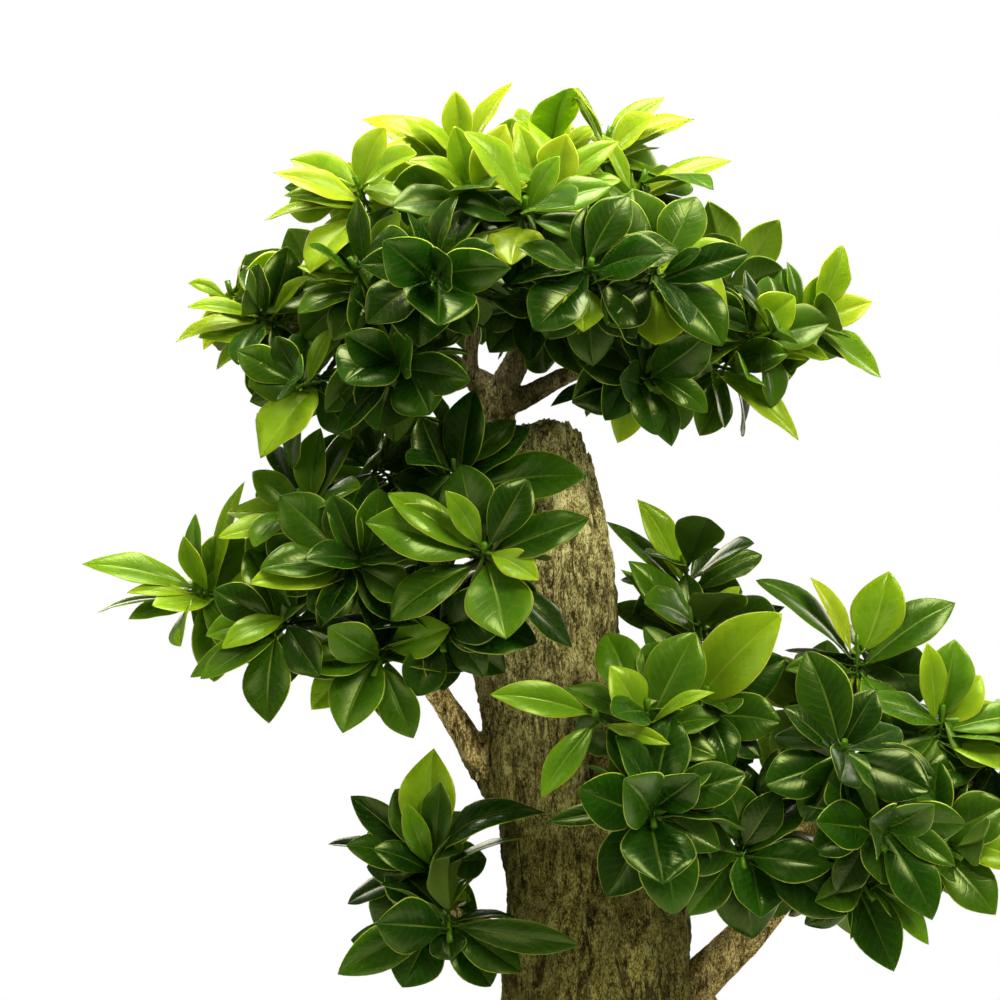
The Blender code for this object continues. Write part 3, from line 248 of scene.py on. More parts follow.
def bark_material():
    """Granular bark: fine vertical grain and short cracks with painted shade in the furrows; olive and
    darker low down, partly moss and partly painted shade; lighter near the bole's top with painted
    light; brown on the limbs, with painted shade on those in the crown.
    """
    g = Graph("fissured_bark")
    depth, limb, twig = g.attribute("bark_tone")[0:3]
    here = g.place()
    grain = g.noise(g.place((1, 1, 0.5)), 900, 3, 0.85)
    plates = g.noise(g.place((1, 1, 0.3)), 170, 5, 0.72)
    patches = g.noise(here, 26, 5, 0.6)
    # A thin dark line wherever a stretched noise passes its middle value, in some places only.
    line = g.off_middle(g.noise(g.place((1, 1, 0.15)), 80, 3, 0.5))
    crack = g.times(g.step(line, 0.036, 0.01), g.step(g.noise(here, 40, 2), 0.42, 0.54))
    fine = g.off_middle(g.noise(g.place((1, 1, 0.28)), 190, 2, 0.5))
    crack = g.math("MAXIMUM", crack, g.times(g.step(fine, 0.02, 0.005), 0.7))
    tone = g.plus(g.times(grain, 0.72), g.times(plates, 0.16))
    # Painted shade: darker where the bark sinks into furrows, lighter where it stands out.
    tone = g.plus(tone, g.times(depth, 0.12))
    bole = g.ramp(tone, (
        (0.4, (0.045, 0.034, 0.008)), (0.455, (0.24, 0.2, 0.062)),
        (0.52, (0.51, 0.46, 0.17)), (0.585, (0.88, 0.83, 0.43)),
    ))
    branch = g.ramp(tone, (
        (0.4, (0.07, 0.05, 0.016)), (0.46, (0.23, 0.178, 0.07)),
        (0.53, (0.46, 0.38, 0.17)), (0.6, (0.74, 0.65, 0.36)),
    ))
    mossy = g.ramp(tone, ((0.4, (0.02, 0.018, 0.002)), (0.66, (0.21, 0.19, 0.055))))
    green_wood = g.mix(grain, (0.04, 0.035, 0.008), (0.09, 0.095, 0.02))
    tall = g.parts(here)["Z"]
    low = g.step(tall, 0.55, 0.28)
    bole = g.mix(g.times(g.step(patches, 0.42, 0.62), g.times(low, 0.6)), bole, mossy)
    # Low down the bole turns olive and darker: partly olive moss, partly painted shade under the
    # leaves.
    bole = g.wash(g.times(low, 0.85), bole, (0.5, 0.51, 0.24))
    # Painted light: the upper bole is lightened, as where the light falls on it.
    bole = g.wash(g.step(tall, 0.45, 0.54), bole, (1.85, 1.85, 1.85))
    bole = g.wash(g.times(g.step(patches, 0.52, 0.32), 0.4), bole, (0.62, 0.55, 0.42))
    # The limbs are lighter low down, tan like the bole, and darker up in the crown: partly their own
    # colour, partly painted shade among the leaves.
    branch = g.wash(g.step(tall, 0.52, 0.42), branch, (2.3, 2.2, 1.9))
    colour = g.mix(limb, bole, branch)
    colour = g.wash(g.times(crack, 0.85), colour, (0.12, 0.09, 0.06))
    colour = g.mix(g.times(twig, 0.6), colour, green_wood)
    relief = g.math("SUBTRACT", g.plus(grain, g.times(plates, 0.9)), g.times(crack, 0.55))
    return g.finish(
        Base_Color=colour,
        Roughness=0.92,
        Normal=g.bump(relief, 0.0024, 0.9),
        Specular_IOR_Level=0.18,
    )


def stoneware_material():
    """Unglazed iron-brown clay: fine speckle, faint throwing lines and a pale bloom near the feet."""
    g = Graph("unglazed_stoneware")
    here = g.place()
    cloud = g.noise(here, 14, 5, 0.6)
    speck = g.made("TexVoronoi", "Distance", {"Vector": here, "Scale": 520})
    lines = g.noise(g.place((0.25, 0.25, 1)), 260, 3, 0.5)
    clay = g.mix(cloud, (0.07, 0.032, 0.02), (0.165, 0.086, 0.056))
    clay = g.mix(g.times(g.step(speck, 0.16, 0.05), 0.7), clay, (0.022, 0.012, 0.009))
    clay = g.mix(g.times(lines, 0.16), clay, (0.25, 0.15, 0.105))
    bloom = g.times(g.step(g.parts(here)["Z"], 0.034, 0.008), g.step(cloud, 0.42, 0.62))
    clay = g.mix(g.times(bloom, 0.3), clay, (0.36, 0.3, 0.25))
    relief = g.plus(g.noise(here, 700, 4, 0.6), g.times(lines, 0.8))
    relief = g.plus(relief, g.times(g.step(speck, 0.14, 0.04), -0.5))
    return g.finish(
        Base_Color=clay,
        Roughness=g.range(cloud, 0.3, 0.7, 0.52, 0.68),
        Normal=g.bump(relief, 0.0004, 0.6),
        Specular_IOR_Level=0.35,
    )


def soil_material():
    """Potting mix: each granule has its own tone, from peat to pale grit, with dirt over it."""
    g = Graph("granular_soil")
    lot = g.attribute("grain_tone")[0]
    dirt = g.noise(g.place(), 240, 6, 0.7)
    colour = g.ramp(lot, (
        (0, (0.022, 0.014, 0.009)), (0.45, (0.06, 0.038, 0.022)),
        (0.75, (0.15, 0.098, 0.055)), (1, (0.3, 0.25, 0.19)),
    ))
    colour = g.wash(g.range(dirt, 0.3, 0.7, 0, 0.7), colour, (0.42, 0.4, 0.38))
    return g.finish(
        Base_Color=colour,
        Roughness=0.95,
        Normal=g.bump(dirt, 0.0008, 0.8),
        Specular_IOR_Level=0.2,
    )


def screen_material():
    """Dark moulded plastic with dust on it."""
    g = Graph("mesh_plastic")
    dust = g.noise(g.place(), 160)
    return g.finish(
        Base_Color=g.mix(g.step(dust, 0.45, 0.75), (0.012, 0.013, 0.012), (0.06, 0.048, 0.036)),
        Roughness=g.range(dust, 0.3, 0.7, 0.38, 0.7),
        Normal=g.bump(dust, 0.0002, 0.4),
    )


def floor_material():
    """A pale floor that fades into the backdrop away from the object."""
    g = Graph("pale_floor")
    here = g.place()
    distance = g.made("VectorMath", "Value", {0: here}, operation="LENGTH")
    return g.finish(
        Base_Color=g.mix(g.noise(here, 3, 2), (0.9, 0.9, 0.89), (0.93, 0.93, 0.93)),
        Roughness=0.75,
        Alpha=g.step(distance, 0.88, 0.42),
    )


# ---- Reading the frame ----

WELD_DIGITS = 5


def welded(obj):
    """(points, faces) of a CAD node, with the vertices that lie on each other made one."""
    mesh = obj.data
    mesh.calc_loop_triangles()
    points = np.round(read_numbers(mesh.vertices, "co", 3), WELD_DIGITS)
    unique, inverse = np.unique(points, axis=0, return_inverse=True)
    faces = inverse.reshape(-1)[read_numbers(mesh.loop_triangles, "vertices", 3, np.int32)]
    a, b, c = faces.T
    return unique.astype(float), faces[(a != b) & (b != c) & (c != a)]


def links_of(count, faces):
    """The vertices that each vertex shares an edge with."""
    links = [set() for _ in range(count)]
    for face in faces.tolist():
        for vertex in face:
            links[vertex].update(set(face) - {vertex})
    return links


# A shoot's ends and a leaf's tip all have four neighbours. Those of a tip are further off than this.
LEAST_TIP_REACH = 0.006


def read_spray(obj):
    """(foot, bud, leaves) of a spray, each leaf by its main places, upper side and half width."""
    points, faces = welded(obj)
    links = links_of(len(points), faces)
    ends = []
    leaves = []
    for vertex, near in enumerate(links):
        if len(near) != 4:
            continue
        ring = sorted(near)
        reach = np.linalg.norm(points[ring] - points[vertex], axis=1).max()
        if reach < LEAST_TIP_REACH:
            ends.append((reach, vertex))
            continue
        pairs = [(a, b) for a in ring for b in ring if a < b]
        widths = [float(np.linalg.norm(points[a] - points[b])) for a, b in pairs]
        wide = pairs[widths.index(max(widths))]
        rest = [v for v in ring if v not in wide]
        neck = {v for r in ring for v in links[r]} - set(ring) - {vertex}
        base = {v for n in neck for v in links[n]} - neck - set(ring)
        middle = points[rest].mean(0)
        up = points[list(wide)].mean(0) - middle
        leaves.append(SimpleNamespace(
            base=Vector(points[sorted(base)].mean(0)),
            neck=Vector(points[sorted(neck)].mean(0)),
            middle=Vector(middle),
            tip=Vector(points[vertex]),
            up=Vector(up / np.linalg.norm(up)),
            half=max(widths) / 2,
        ))
    ends.sort()
    return Vector(points[ends[0][1]]), Vector(points[ends[-1][1]]), leaves


# ---- Leaves ----

# A blade's columns, from one rim over the midrib to the other, and its rows, closer at both ends.
COLUMNS = np.array([-1, -0.93, -0.76, -0.52, -0.28, -0.09, 0, 0.09, 0.28, 0.52, 0.76, 0.93, 1])
ROWS = 17
EVEN = np.linspace(0, 1, ROWS)
ROW_PLACES = 0.55 * EVEN + 0.45 * (0.5 - 0.5 * np.cos(np.pi * EVEN))
# The cage's widest place, as a share of the way from neck to tip.
WIDEST_AT = 0.52
# How far a leaf may roll about its length, in radians: one whose age is named, and any other.
NAMED_ROLL = 0.10
USUAL_ROLL = 0.28
STALK_HALF = 0.0011
STALK_RADII = [0.0013, 0.0010, 0.0009, 0.0006]
GROOVE_DEPTH = 0.00035
BLADE_THICK = 0.00070
BLADE_THINNING = 0.00030
RIB_THICK = 0.0006

# Ages from 0, dark and full grown, to 1, just opened, by pad and number of the spray: its usual age,
# and the ages of its leaves that differ, by the clock angle that they point to.
AGES = {
    "crown": {
        1: (0.78, {168: 0.2, 50: 0.62, 230: 0.8}), 2: (0.82, {145: 1.0, 30: 1.0, 100: 0.9}),
        3: (0.16, {150: 0.66, 120: 0.7}), 4: (0.12, {255: 0.84, 345: 0.3}),
        5: (0.45, {70: 1.0, 331: 0.8, 170: 0.82, 37: 0.6, 110: 0.8}),
        6: (0.4, {190: 0.8, 41: 0.85, 115: 0.85, 75: 0.8, 74: 0.88, 20: 0.8}),
        7: (0.3, {17: 0.95, 27: 0.8, 33: 0.85, 120: 0.8, 130: 0.86, 93: 0.8}),
        8: (0.2, {23: 0.8, 18: 0.86, 120: 0.7}),
        9: (0.28, {330: 0.82, 14: 0.65, 12: 0.8, 35: 0.92, 30: 0.85}), 10: (0.14, {270: 0.66}),
        11: (0.1, {268: 0.7}), 12: (0.1, {258: 0.84}), 13: (0.16, {319: 0.8, 349: 0.6}),
        14: (0.18, {45: 0.62, 345: 0.8, 350: 0.6}), 15: (0.3, {18: 0.9, 55: 0.7, 69: 0.75, 322: 0.5}),
        16: (0.8, {}), 17: (0.18, {195: 0.86, 217: 0.62, 46: 0.75, 185: 0.8, 172: 0.7}),
        18: (0.16, {235: 0.74, 65: 0.5}), 21: (0.18, {158: 0.6, 60: 0.5}), 26: (0.16, {55: 0.6}),
    },
    "left": {
        1: (0.18, {146: 0.46, 122: 0.5, 333: 0.72, 163: 0.34, 286: 0.3}), 3: (0.16, {183: 0.62}),
        4: (0.24, {188: 0.72, 172: 0.6, 74: 0.4}), 5: (0.14, {187: 0.66}),
        6: (0.4, {173: 0.78, 185: 0.7, 75: 0.66, 95: 0.4, 110: 0.6}), 7: (0.2, {203: 0.52, 190: 0.4}),
        8: (0.18, {222: 0.55, 20: 0.45}),
    },
    "lower_left": {
        1: (0.12, {215: 0.5}), 2: (0.12, {88: 0.74, 112: 0.4}),
    },
    "right": {
        1: (0.46, {167: 0.46, 232: 0.42, 344: 0.66}), 2: (0.2, {120: 0.56, 27: 0.6}),
        4: (0.16, {119: 0.74, 139: 0.24, 27: 0.2}), 5: (0.2, {144: 0.46, 50: 0.6}),
        6: (0.14, {50: 0.74}), 7: (0.24, {121: 0.96, 62: 0.55, 35: 0.2, 140: 0.22}),
        8: (0.28, {50: 0.78, 20: 0.75, 340: 0.6, 100: 0.7}), 11: (0.16, {300: 0.68, 314: 0.35}),
        13: (0.14, {346: 0.7}),
    },
}
# Leaves that are narrower than their cages, by clock angle: the share of the width that they keep.
SLIM = {
    "right_spray_01": {167: 0.80, 232: 0.66},
    "lower_left_spray_01": {356: 0.62},
}
USUAL_AGE = 0.08
# Leaves get younger and lighter between these heights: young growth at the top of the crown, with
# painted light from above. CLOCK_REACH is how far off a clock angle may be.
YOUNG_AND_LIT_FROM = 0.690
YOUNG_AND_LIT_TO = 0.752
CLOCK_REACH = 17


def clock_of(direction):
    """The angle that a direction points to as seen from the front: 0 right, 90 up."""
    return math.degrees(math.atan2(direction.z, direction.x)) % 360


def ages_told(name):
    pad, number = name.split("_spray_")
    return AGES[pad].get(int(number), (USUAL_AGE, {}))


def usual_age_and_top_light(name, tip, rng):
    """The usual age of the spray, and younger and lighter towards the top of the crown: young growth,
    with painted light from above.
    """
    age = ages_told(name)[0] + rng.uniform(-0.09, 0.10)
    # Painted light from above, with young growth: the tone rises towards the top of the crown.
    rise = unit((tip.z - YOUNG_AND_LIT_FROM) / (YOUNG_AND_LIT_TO - YOUNG_AND_LIT_FROM))
    return min(max(age, rise * rng.uniform(0.62, 1.0)), 1.0)


def told(table, leaves):
    """What a table of clock angles says of single leaves, by their place in the list."""
    taken = {}
    for clock, value in table.items():
        gaps = [
            (abs((clock_of(leaf.tip - leaf.base) - clock + 180) % 360 - 180), index)
            for index, leaf in enumerate(leaves) if index not in taken
        ]
        if gaps and min(gaps)[0] < CLOCK_REACH:
            taken[min(gaps)[1]] = value
    return taken


class Patchwork:
    """Vertices, faces, leaf coordinates and tones of one spray, gathered piece by piece."""

    def __init__(self):
        self.points = []
        self.faces = []
        self.uvs = []
        self.tones = []
        self.count = 0

    def add(self, points, faces, uvs, tones):
        self.points.append(np.asarray(points))
        for face, uv, tone in zip(faces, uvs, tones):
            self.faces.append([self.count + i for i in face])
            self.uvs.extend(uv)
            self.tones.extend([tone] * len(face))
        self.count += len(points)

    def build(self, name, material):
        mesh = bpy.data.meshes.new(name)
        mesh.from_pydata(np.concatenate(self.points).tolist(), [], self.faces)
        layer = mesh.uv_layers.new(name="leaf")
        layer.data.foreach_set("uv", np.array(self.uvs, np.float32).reshape(-1))
        paint(mesh, "leaf_tone", "CORNER", self.tones)
        mesh.shade_smooth()
        mesh.materials.append(material)
        return linked(name, mesh)


def blade_width(v, peak, base_power, tip_power):
    """Half width along the blade as a share of its widest: narrow at the stalk, full near the end."""
    rising = np.sin(np.pi / 2 * np.clip(v / peak, 0, 1)) ** base_power
    falling = np.sin(np.pi / 2 * np.clip((1 - v) / (1 - peak), 0, 1)) ** tip_power
    return np.where(v < peak, rising, falling)


def blade_spine(leaf, neck, roll_spread, rng):
    """(centre, side, normal) in each row of a leaf: a curve through its cage, drooped and twisted."""
    middle, tip = np.array(leaf.middle), np.array(leaf.tip)
    roll = Quaternion((leaf.tip - leaf.neck).normalized(), rng.gauss(0.0, roll_spread))
    up = np.array(roll @ leaf.up)
    length = np.linalg.norm(tip - neck)
    at = WIDEST_AT
    control = (middle - (1 - at) ** 2 * neck - at ** 2 * tip) / (2 * at * (1 - at))
    row = ROW_PLACES[:, None]
    centre = (1 - row) ** 2 * neck + 2 * row * (1 - row) * control + row ** 2 * tip
    centre -= up * length * rng.uniform(-0.02, 0.15) * (row ** 2.4 - row * 0.75)
    tangent = np.gradient(centre, axis=0)
    tangent /= np.linalg.norm(tangent, axis=1)[:, None]
    side = np.cross(tangent, up)
    side /= np.linalg.norm(side, axis=1)[:, None]
    normal = np.cross(side, tangent)
    twist = rng.uniform(-0.20, 0.20) * (ROW_PLACES - 0.2)
    turn, lift = np.cos(twist)[:, None], np.sin(twist)[:, None]
    return centre, side * turn + normal * lift, normal * turn - side * lift


def blade_bend(age, rng):
    """How far each place of the blade stands off its midrib, as a share of the half width."""
    fold = rng.uniform(0.04, 0.24) + 0.08 * age
    crown = rng.uniform(0.03, 0.09)
    curl = rng.uniform(0.02, 0.08)
    wave = rng.uniform(0.02, 0.06)
    turns = rng.uniform(1.6, 3.0)
    phase = rng.uniform(0, 6.28)
    u = COLUMNS[None, :]
    bend = fold * np.abs(u) ** 1.15 + crown * np.sin(np.pi * np.abs(u)) - curl * np.abs(u) ** 5
    ripple = np.sin(6.283 * turns * ROW_PLACES[:, None] + phase + 1.2 * np.sign(u))
    # The curve is the midrib of the cage, so a part of the fold goes under it.
    return bend + wave * ripple * u ** 2 - 0.35 * fold


def blade_faces(age, lot):
    """(faces, uvs, tones) of a blade, whose points are its upper rows, its lower ones and its tip."""
    rows, columns = ROWS - 1, len(COLUMNS)
    over = np.arange(rows * columns).reshape(rows, columns)
    below = over.copy()
    below[:, 1:-1] = over.size + np.arange(rows * (columns - 2)).reshape(rows, -1)
    end = over.size + rows * (columns - 2)
    over, below = over.tolist(), below.tolist()
    place = (COLUMNS + 1) / 2
    v = ROW_PLACES
    faces, uvs, tones = [], [], []
    for flag, at in ((0.0, over), (1.0, below)):
        turned = -1 if flag else 1
        for c in range(columns - 1):
            left, right = place[c], place[c + 1]
            for r in range(rows - 1):
                faces.append([at[r][c], at[r][c + 1], at[r + 1][c + 1], at[r + 1][c]][::turned])
                uvs.append([(left, v[r]), (right, v[r]), (right, v[r + 1]), (left, v[r + 1])][::turned])
            faces.append([at[-1][c], at[-1][c + 1], end][::turned])
            uvs.append([(left, v[rows - 1]), (right, v[rows - 1]), ((left + right) / 2, 1.0)][::turned])
            tones.extend([(age, lot, flag, 1.0)] * rows)
    for c in range(columns - 1):
        face = list(dict.fromkeys([over[0][c], below[0][c], below[0][c + 1], over[0][c + 1]]))
        faces.append(face)
        uvs.append([(0.5, 0.0)] * len(face))
        tones.append((age, lot, 1.0, 1.0))
    return faces, uvs, tones


def add_leaf(work, leaf, age, rng, roll_spread):
    """Lofts one closed leaf blade and its stalk over a cage."""
    neck = np.array(leaf.neck)
    neck = neck + 0.55 * (np.array(leaf.base) - neck)
    centre, side, normal = blade_spine(leaf, neck, roll_spread, rng)
    v = ROW_PLACES
    peak = rng.uniform(0.50, 0.60) - 0.08 * age
    width = blade_width(v, peak, rng.uniform(0.80, 1.0), rng.uniform(0.72, 0.96) + 0.16 * age)
    half = leaf.half * rng.uniform(0.98, 1.18) * width
    half = np.maximum(half, STALK_HALF * (1 - v))
    half[-1] = 0.0
    bend = blade_bend(age, rng)
    u = COLUMNS[None, :]
    wide = half[:, None]
    groove = GROOVE_DEPTH * np.exp(-(u / 0.06) ** 2) * (width[:, None] > 0.25)
    top = centre[:, None, :] + side[:, None, :] * (wide * u)[:, :, None]
    top = top + normal[:, None, :] * (wide * bend - groove)[:, :, None]
    thick = (BLADE_THICK - BLADE_THINNING * np.abs(u)) * np.minimum(1.0, wide / 0.003)
    thick = thick + RIB_THICK * np.exp(-(u / 0.07) ** 2) * (1 - v[:, None])
    bottom = top - normal[:, None, :] * thick[:, :, None]
    lot = rng.random()
    points = [top[:-1].reshape(-1, 3), bottom[:-1, 1:-1].reshape(-1, 3), top[-1:, len(COLUMNS) // 2]]
    work.add(np.concatenate(points), *blade_faces(age, lot))
    blade_foot = Vector(centre[0])
    stalk_end = Vector(centre[1]) - Vector(normal[1]) * 0.0002
    path = [leaf.base, leaf.base.lerp(blade_foot, 0.6), blade_foot, stalk_end]
    add_tube(work, path, STALK_RADII, 6, (0.6 * age + 0.12, lot, 0.0, 1.0))


# Tubes take their colour from a place on the leaf with no rim, rib or vein.
TUBE_UV = (0.3, 0.05)


def add_tube(work, path, radii, sides, tone):
    """A closed tube along a path of points."""
    across = None
    points = []
    count = len(path)
    for i, (point, radius) in enumerate(zip(path, radii)):
        along = (path[min(i + 1, count - 1)] - path[max(i - 1, 0)]).normalized()
        across = along.orthogonal() if across is None else across - along * across.dot(along)
        across.normalize()
        third = along.cross(across)
        for k in range(sides):
            turn = math.tau * k / sides
            points.append(point + radius * (math.cos(turn) * across + math.sin(turn) * third))
    faces = []
    for i in range(count - 1):
        for k in range(sides):
            j = (k + 1) % sides
            faces.append([i * sides + k, i * sides + j, (i + 1) * sides + j, (i + 1) * sides + k])
    faces.append(list(range(sides))[::-1])
    faces.append([(count - 1) * sides + k for k in range(sides)])
    uvs = [[TUBE_UV] * len(face) for face in faces]
    work.add([tuple(p) for p in points], faces, uvs, [tone] * len(faces))


# Sprays with their foot behind this y look to the back of the tree.
OPEN_BACK = 0.04


def facing(foot, axis, along):
    """Which way the upper side of an extra leaf looks."""
    outward = Vector((foot.x, foot.y, 0)).normalized()
    open_side = Vector((0, 1 if foot.y > OPEN_BACK else -1, 0))
    up = axis * 0.7 + Vector((0, 0, 0.65)) + outward * 0.25 + open_side * 0.6
    return (up - along * up.dot(along)).normalized()


def extra_leaf(base, axis, along, length, share, foot):
    """The cage of a leaf that isn't in the frame. Share is its width by its length."""
    up = facing(foot, axis, along)
    neck = base + (axis * 0.3 + along).normalized() * min(0.006, length * 0.15)
    tip = base + along * length
    middle = neck.lerp(tip, WIDEST_AT) + up * length * 0.06
    return SimpleNamespace(base=base, neck=neck, middle=middle, tip=tip, up=up, half=length * share / 2)


def opened(axis, turn, opening):
    """The direction that is opened away from an axis, at a turn round it."""
    across = axis.orthogonal().normalized()
    third = axis.cross(across)
    outward = across * math.cos(turn) + third * math.sin(turn)
    return (axis * math.cos(opening) + outward * math.sin(opening)).normalized()


EXTRA_LEAVES = 12
EXTRA_TRIES = 160
YOUNG_LEAVES = 4
YOUNGER = 0.30
# How far back an extra leaf may point, how close to another leaf's way, and how near to the wood.
MOST_BACKWARD = -0.25
MOST_ALIKE = 0.86
WOOD_GAP = 0.006


def extra_leaves(foot, bud, leaves, wood, cover, rng):
    """Smaller leaves between the framed ones, and the young rosette round the bud, with how much
    younger each is."""
    axis = (bud - foot).normalized()
    taken = [(leaf.tip - leaf.base).normalized() for leaf in leaves]
    found = []
    back = 1 if foot.y <= OPEN_BACK else -1
    for _ in range(EXTRA_TRIES):
        if len(found) >= EXTRA_LEAVES:
            break
        along = opened(axis, rng.uniform(0, math.tau), math.radians(rng.uniform(35, 115)))
        nearest = max([0.0] + [along.dot(other) for other in taken])
        if along.y * back < MOST_BACKWARD or nearest > MOST_ALIKE:
            continue
        base = foot.lerp(bud, rng.uniform(0.1, 0.75))
        length = rng.uniform(0.042, 0.062)
        ends = [base + along * length * share for share in (0.35, 0.7, 1.0)]
        if any((wood.find_nearest(end)[3] or 1.0) < WOOD_GAP or inside(wood, end) for end in ends):
            continue
        leaf = extra_leaf(base, axis, along, length, rng.uniform(0.50, 0.66), foot)
        if not cover.holds(leaf):
            continue
        taken.append(along)
        found.append((leaf, 0.0))
    base = foot.lerp(bud, 0.80)
    for number in range(YOUNG_LEAVES):
        turn = number * math.tau / YOUNG_LEAVES + rng.uniform(-0.4, 0.4)
        along = opened(axis, turn, math.radians(rng.uniform(16, 52)))
        length = rng.uniform(0.024, 0.042)
        found.append((extra_leaf(base, axis, along, length, rng.uniform(0.34, 0.48), foot), YOUNGER))
    return found


class Cover:
    """Where the framed leaves stand as seen from the front, with small gaps closed, and how far back
    those that have to show reach."""

    CELL = 0.003
    SIZE = (300, 320)
    LOWEST = 0.08
    LEFTMOST = -0.48
    FAR_FRONT = -9.0
    CLOSING = 5
    STEPS = 14

    def __init__(self, leaves):
        self.mask = np.zeros(self.SIZE, bool)
        self.depth = np.full(self.SIZE, self.FAR_FRONT)
        rows, columns = np.indices(self.SIZE)
        for leaf, shown in leaves:
            for t in np.linspace(0, 1, self.STEPS):
                place = self.along(leaf, t)
                row, column = self.cell(place)
                radius = max(leaf.half * math.sin(math.pi * t) ** 0.6, 0.002) / self.CELL
                disc = (rows - row) ** 2 + (columns - column) ** 2 <= radius ** 2
                self.mask |= disc
                if shown:
                    self.depth[disc] = np.maximum(self.depth[disc], place.y)
        self.mask = ~self.spread(~self.spread(self.mask))

    def spread(self, mask):
        """The mask, grown by a disc of CLOSING cells."""
        out = mask.copy()
        reach = range(-self.CLOSING, self.CLOSING + 1)
        for dr in reach:
            for dc in reach:
                if dr * dr + dc * dc <= self.CLOSING ** 2:
                    out |= np.roll(mask, (dr, dc), (0, 1))
        return out

    @staticmethod
    def along(leaf, t):
        """A place on a leaf's midrib, from its neck to its tip."""
        control = leaf.middle * 2 - (leaf.neck + leaf.tip) / 2
        return leaf.neck * (1 - t) ** 2 + control * 2 * t * (1 - t) + leaf.tip * t ** 2

    def cell(self, point):
        """The row and column that a point is seen in from the front."""
        near = VIEW_DISTANCE / (VIEW_DISTANCE + point.y)
        x = VIEW_X + (point.x - VIEW_X) * near
        z = VIEW_Z + (point.z - VIEW_Z) * near
        return (z - self.LOWEST) / self.CELL, (x - self.LEFTMOST) / self.CELL

    def holds(self, leaf):
        """Whether a leaf stays inside the outline and behind the leaves that have to show."""
        side = (leaf.tip - leaf.neck).cross(leaf.up).normalized() * leaf.half
        points = [self.along(leaf, t) for t in (0.3, 0.5, 0.8, 1.0)]
        points += [self.along(leaf, 0.6) + side, self.along(leaf, 0.6) - side]
        cells = [(int(row), int(column)) for row, column in map(self.cell, points)]
        covered = all(self.mask[cell] for cell in cells[1:])
        return covered and all(point.y > self.depth[cell] for point, cell in zip(points, cells))


def inside(wood, point):
    place, normal, _, _ = wood.find_nearest(point)
    return place is not None and (point - place).dot(normal) < 0


def turn_upper_side(leaf, foot, named):
    """Turns a front leaf that stands upright outwards, and a named one a little to the front."""
    if foot.y <= OPEN_BACK and leaf.up.y > 0.2 and leaf.up.z < 0.6:
        leaf.up = -leaf.up
    if named and -0.35 < leaf.up.y < 0.1:
        along = (leaf.tip - leaf.neck).normalized()
        up = leaf.up + Vector((0, -0.55, 0))
        leaf.up = (up - along * up.dot(along)).normalized()


# Shares of the way along a shoot, from its foot to its bud, and the radius there.
SHOOT = ((0.5, 0.0012), (0.78, 0.0008), (0.88, 0.0004))
SHOOT_TONE = (0.42, 0.4, 0.0, 1.0)
# The spray that has no extra leaves, and the one with a thin bare tendril beyond its leaves.
OPEN_SPRAY = "right_spray_01"
TENDRIL_SPRAY = "crown_spray_15"
TENDRIL_TONE = (0.55, 0.5, 0.0, 1.0)
TENDRIL = (
    ((0.140, -0.004, 0.634), 0.0007), ((0.156, -0.004, 0.634), 0.0006),
    ((0.171, -0.004, 0.630), 0.0005), ((0.183, -0.004, 0.622), 0.0004),
    ((0.190, -0.004, 0.612), 0.0003),
)


def add_shoot(work, foot, bud):
    axis = (bud - foot).normalized()
    path = [foot - axis * 0.002, foot + axis * 0.004] + [foot.lerp(bud, share) for share, _ in SHOOT]
    add_tube(work, path, [0.0020, 0.0018] + [radius for _, radius in SHOOT], 8, SHOOT_TONE)


def make_sprays(wood):
    material = leaf_material()
    names = [name for name in sorted(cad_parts) if "_spray_" in name]
    sprays = {name: read_spray(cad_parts[name]) for name in names}
    named = {name: told(ages_told(name)[1], sprays[name][2]) for name in names}
    cover = Cover([
        (leaf, index in named[name]) for name in names for index, leaf in enumerate(sprays[name][2])
    ])
    for name, (foot, bud, leaves) in sprays.items():
        rng = random.Random(zlib.crc32(name.encode()))
        work = Patchwork()
        for index, share in told(SLIM.get(name, {}), leaves).items():
            leaves[index].half *= share
        ages = [max(usual_age_and_top_light(name, leaf.tip, rng), 0.0) for leaf in leaves]
        for index, (leaf, age) in enumerate(zip(leaves, ages)):
            shown = index in named[name]
            turn_upper_side(leaf, foot, shown)
            age = named[name].get(index, age)
            add_leaf(work, leaf, age, rng, NAMED_ROLL if shown else USUAL_ROLL)
        if name != OPEN_SPRAY:
            for leaf, younger in extra_leaves(foot, bud, leaves, wood, cover, rng):
                age = usual_age_and_top_light(name, leaf.tip, rng) * 0.9 + younger
                add_leaf(work, leaf, min(age, 1.0), rng, USUAL_ROLL)
        add_shoot(work, foot, bud)
        if name == TENDRIL_SPRAY:
            path, radii = zip(*TENDRIL)
            add_tube(work, [Vector(place) for place in path], radii, 6, TENDRIL_TONE)
        obj = work.build(name + "_leaves", material)
        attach(obj, "root")
        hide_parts(name)


# ---- Wood ----

def smooth_points(points, edges, rounds):
    """Taubin smoothing, which rounds the facets off without thinning the twigs."""
    count = len(points)
    first, second = edges.T
    shares = np.maximum(np.bincount(edges.reshape(-1), minlength=count), 1)[:, None]
    for _ in range(rounds):
        for amount in (0.55, -0.57):
            total = np.stack([
                np.bincount(first, column[second], count) + np.bincount(second, column[first], count)
                for column in points.T
            ], 1)
            points = points + amount * (total / shares - points)
    return points


VOXEL = 0.0017
MOST_WOOD_FACES = 190000
BOLE_TOP = 0.560
BOLE_THICK = 0.040
FLARE_TOP = 0.330
MOST_THICK = 0.12


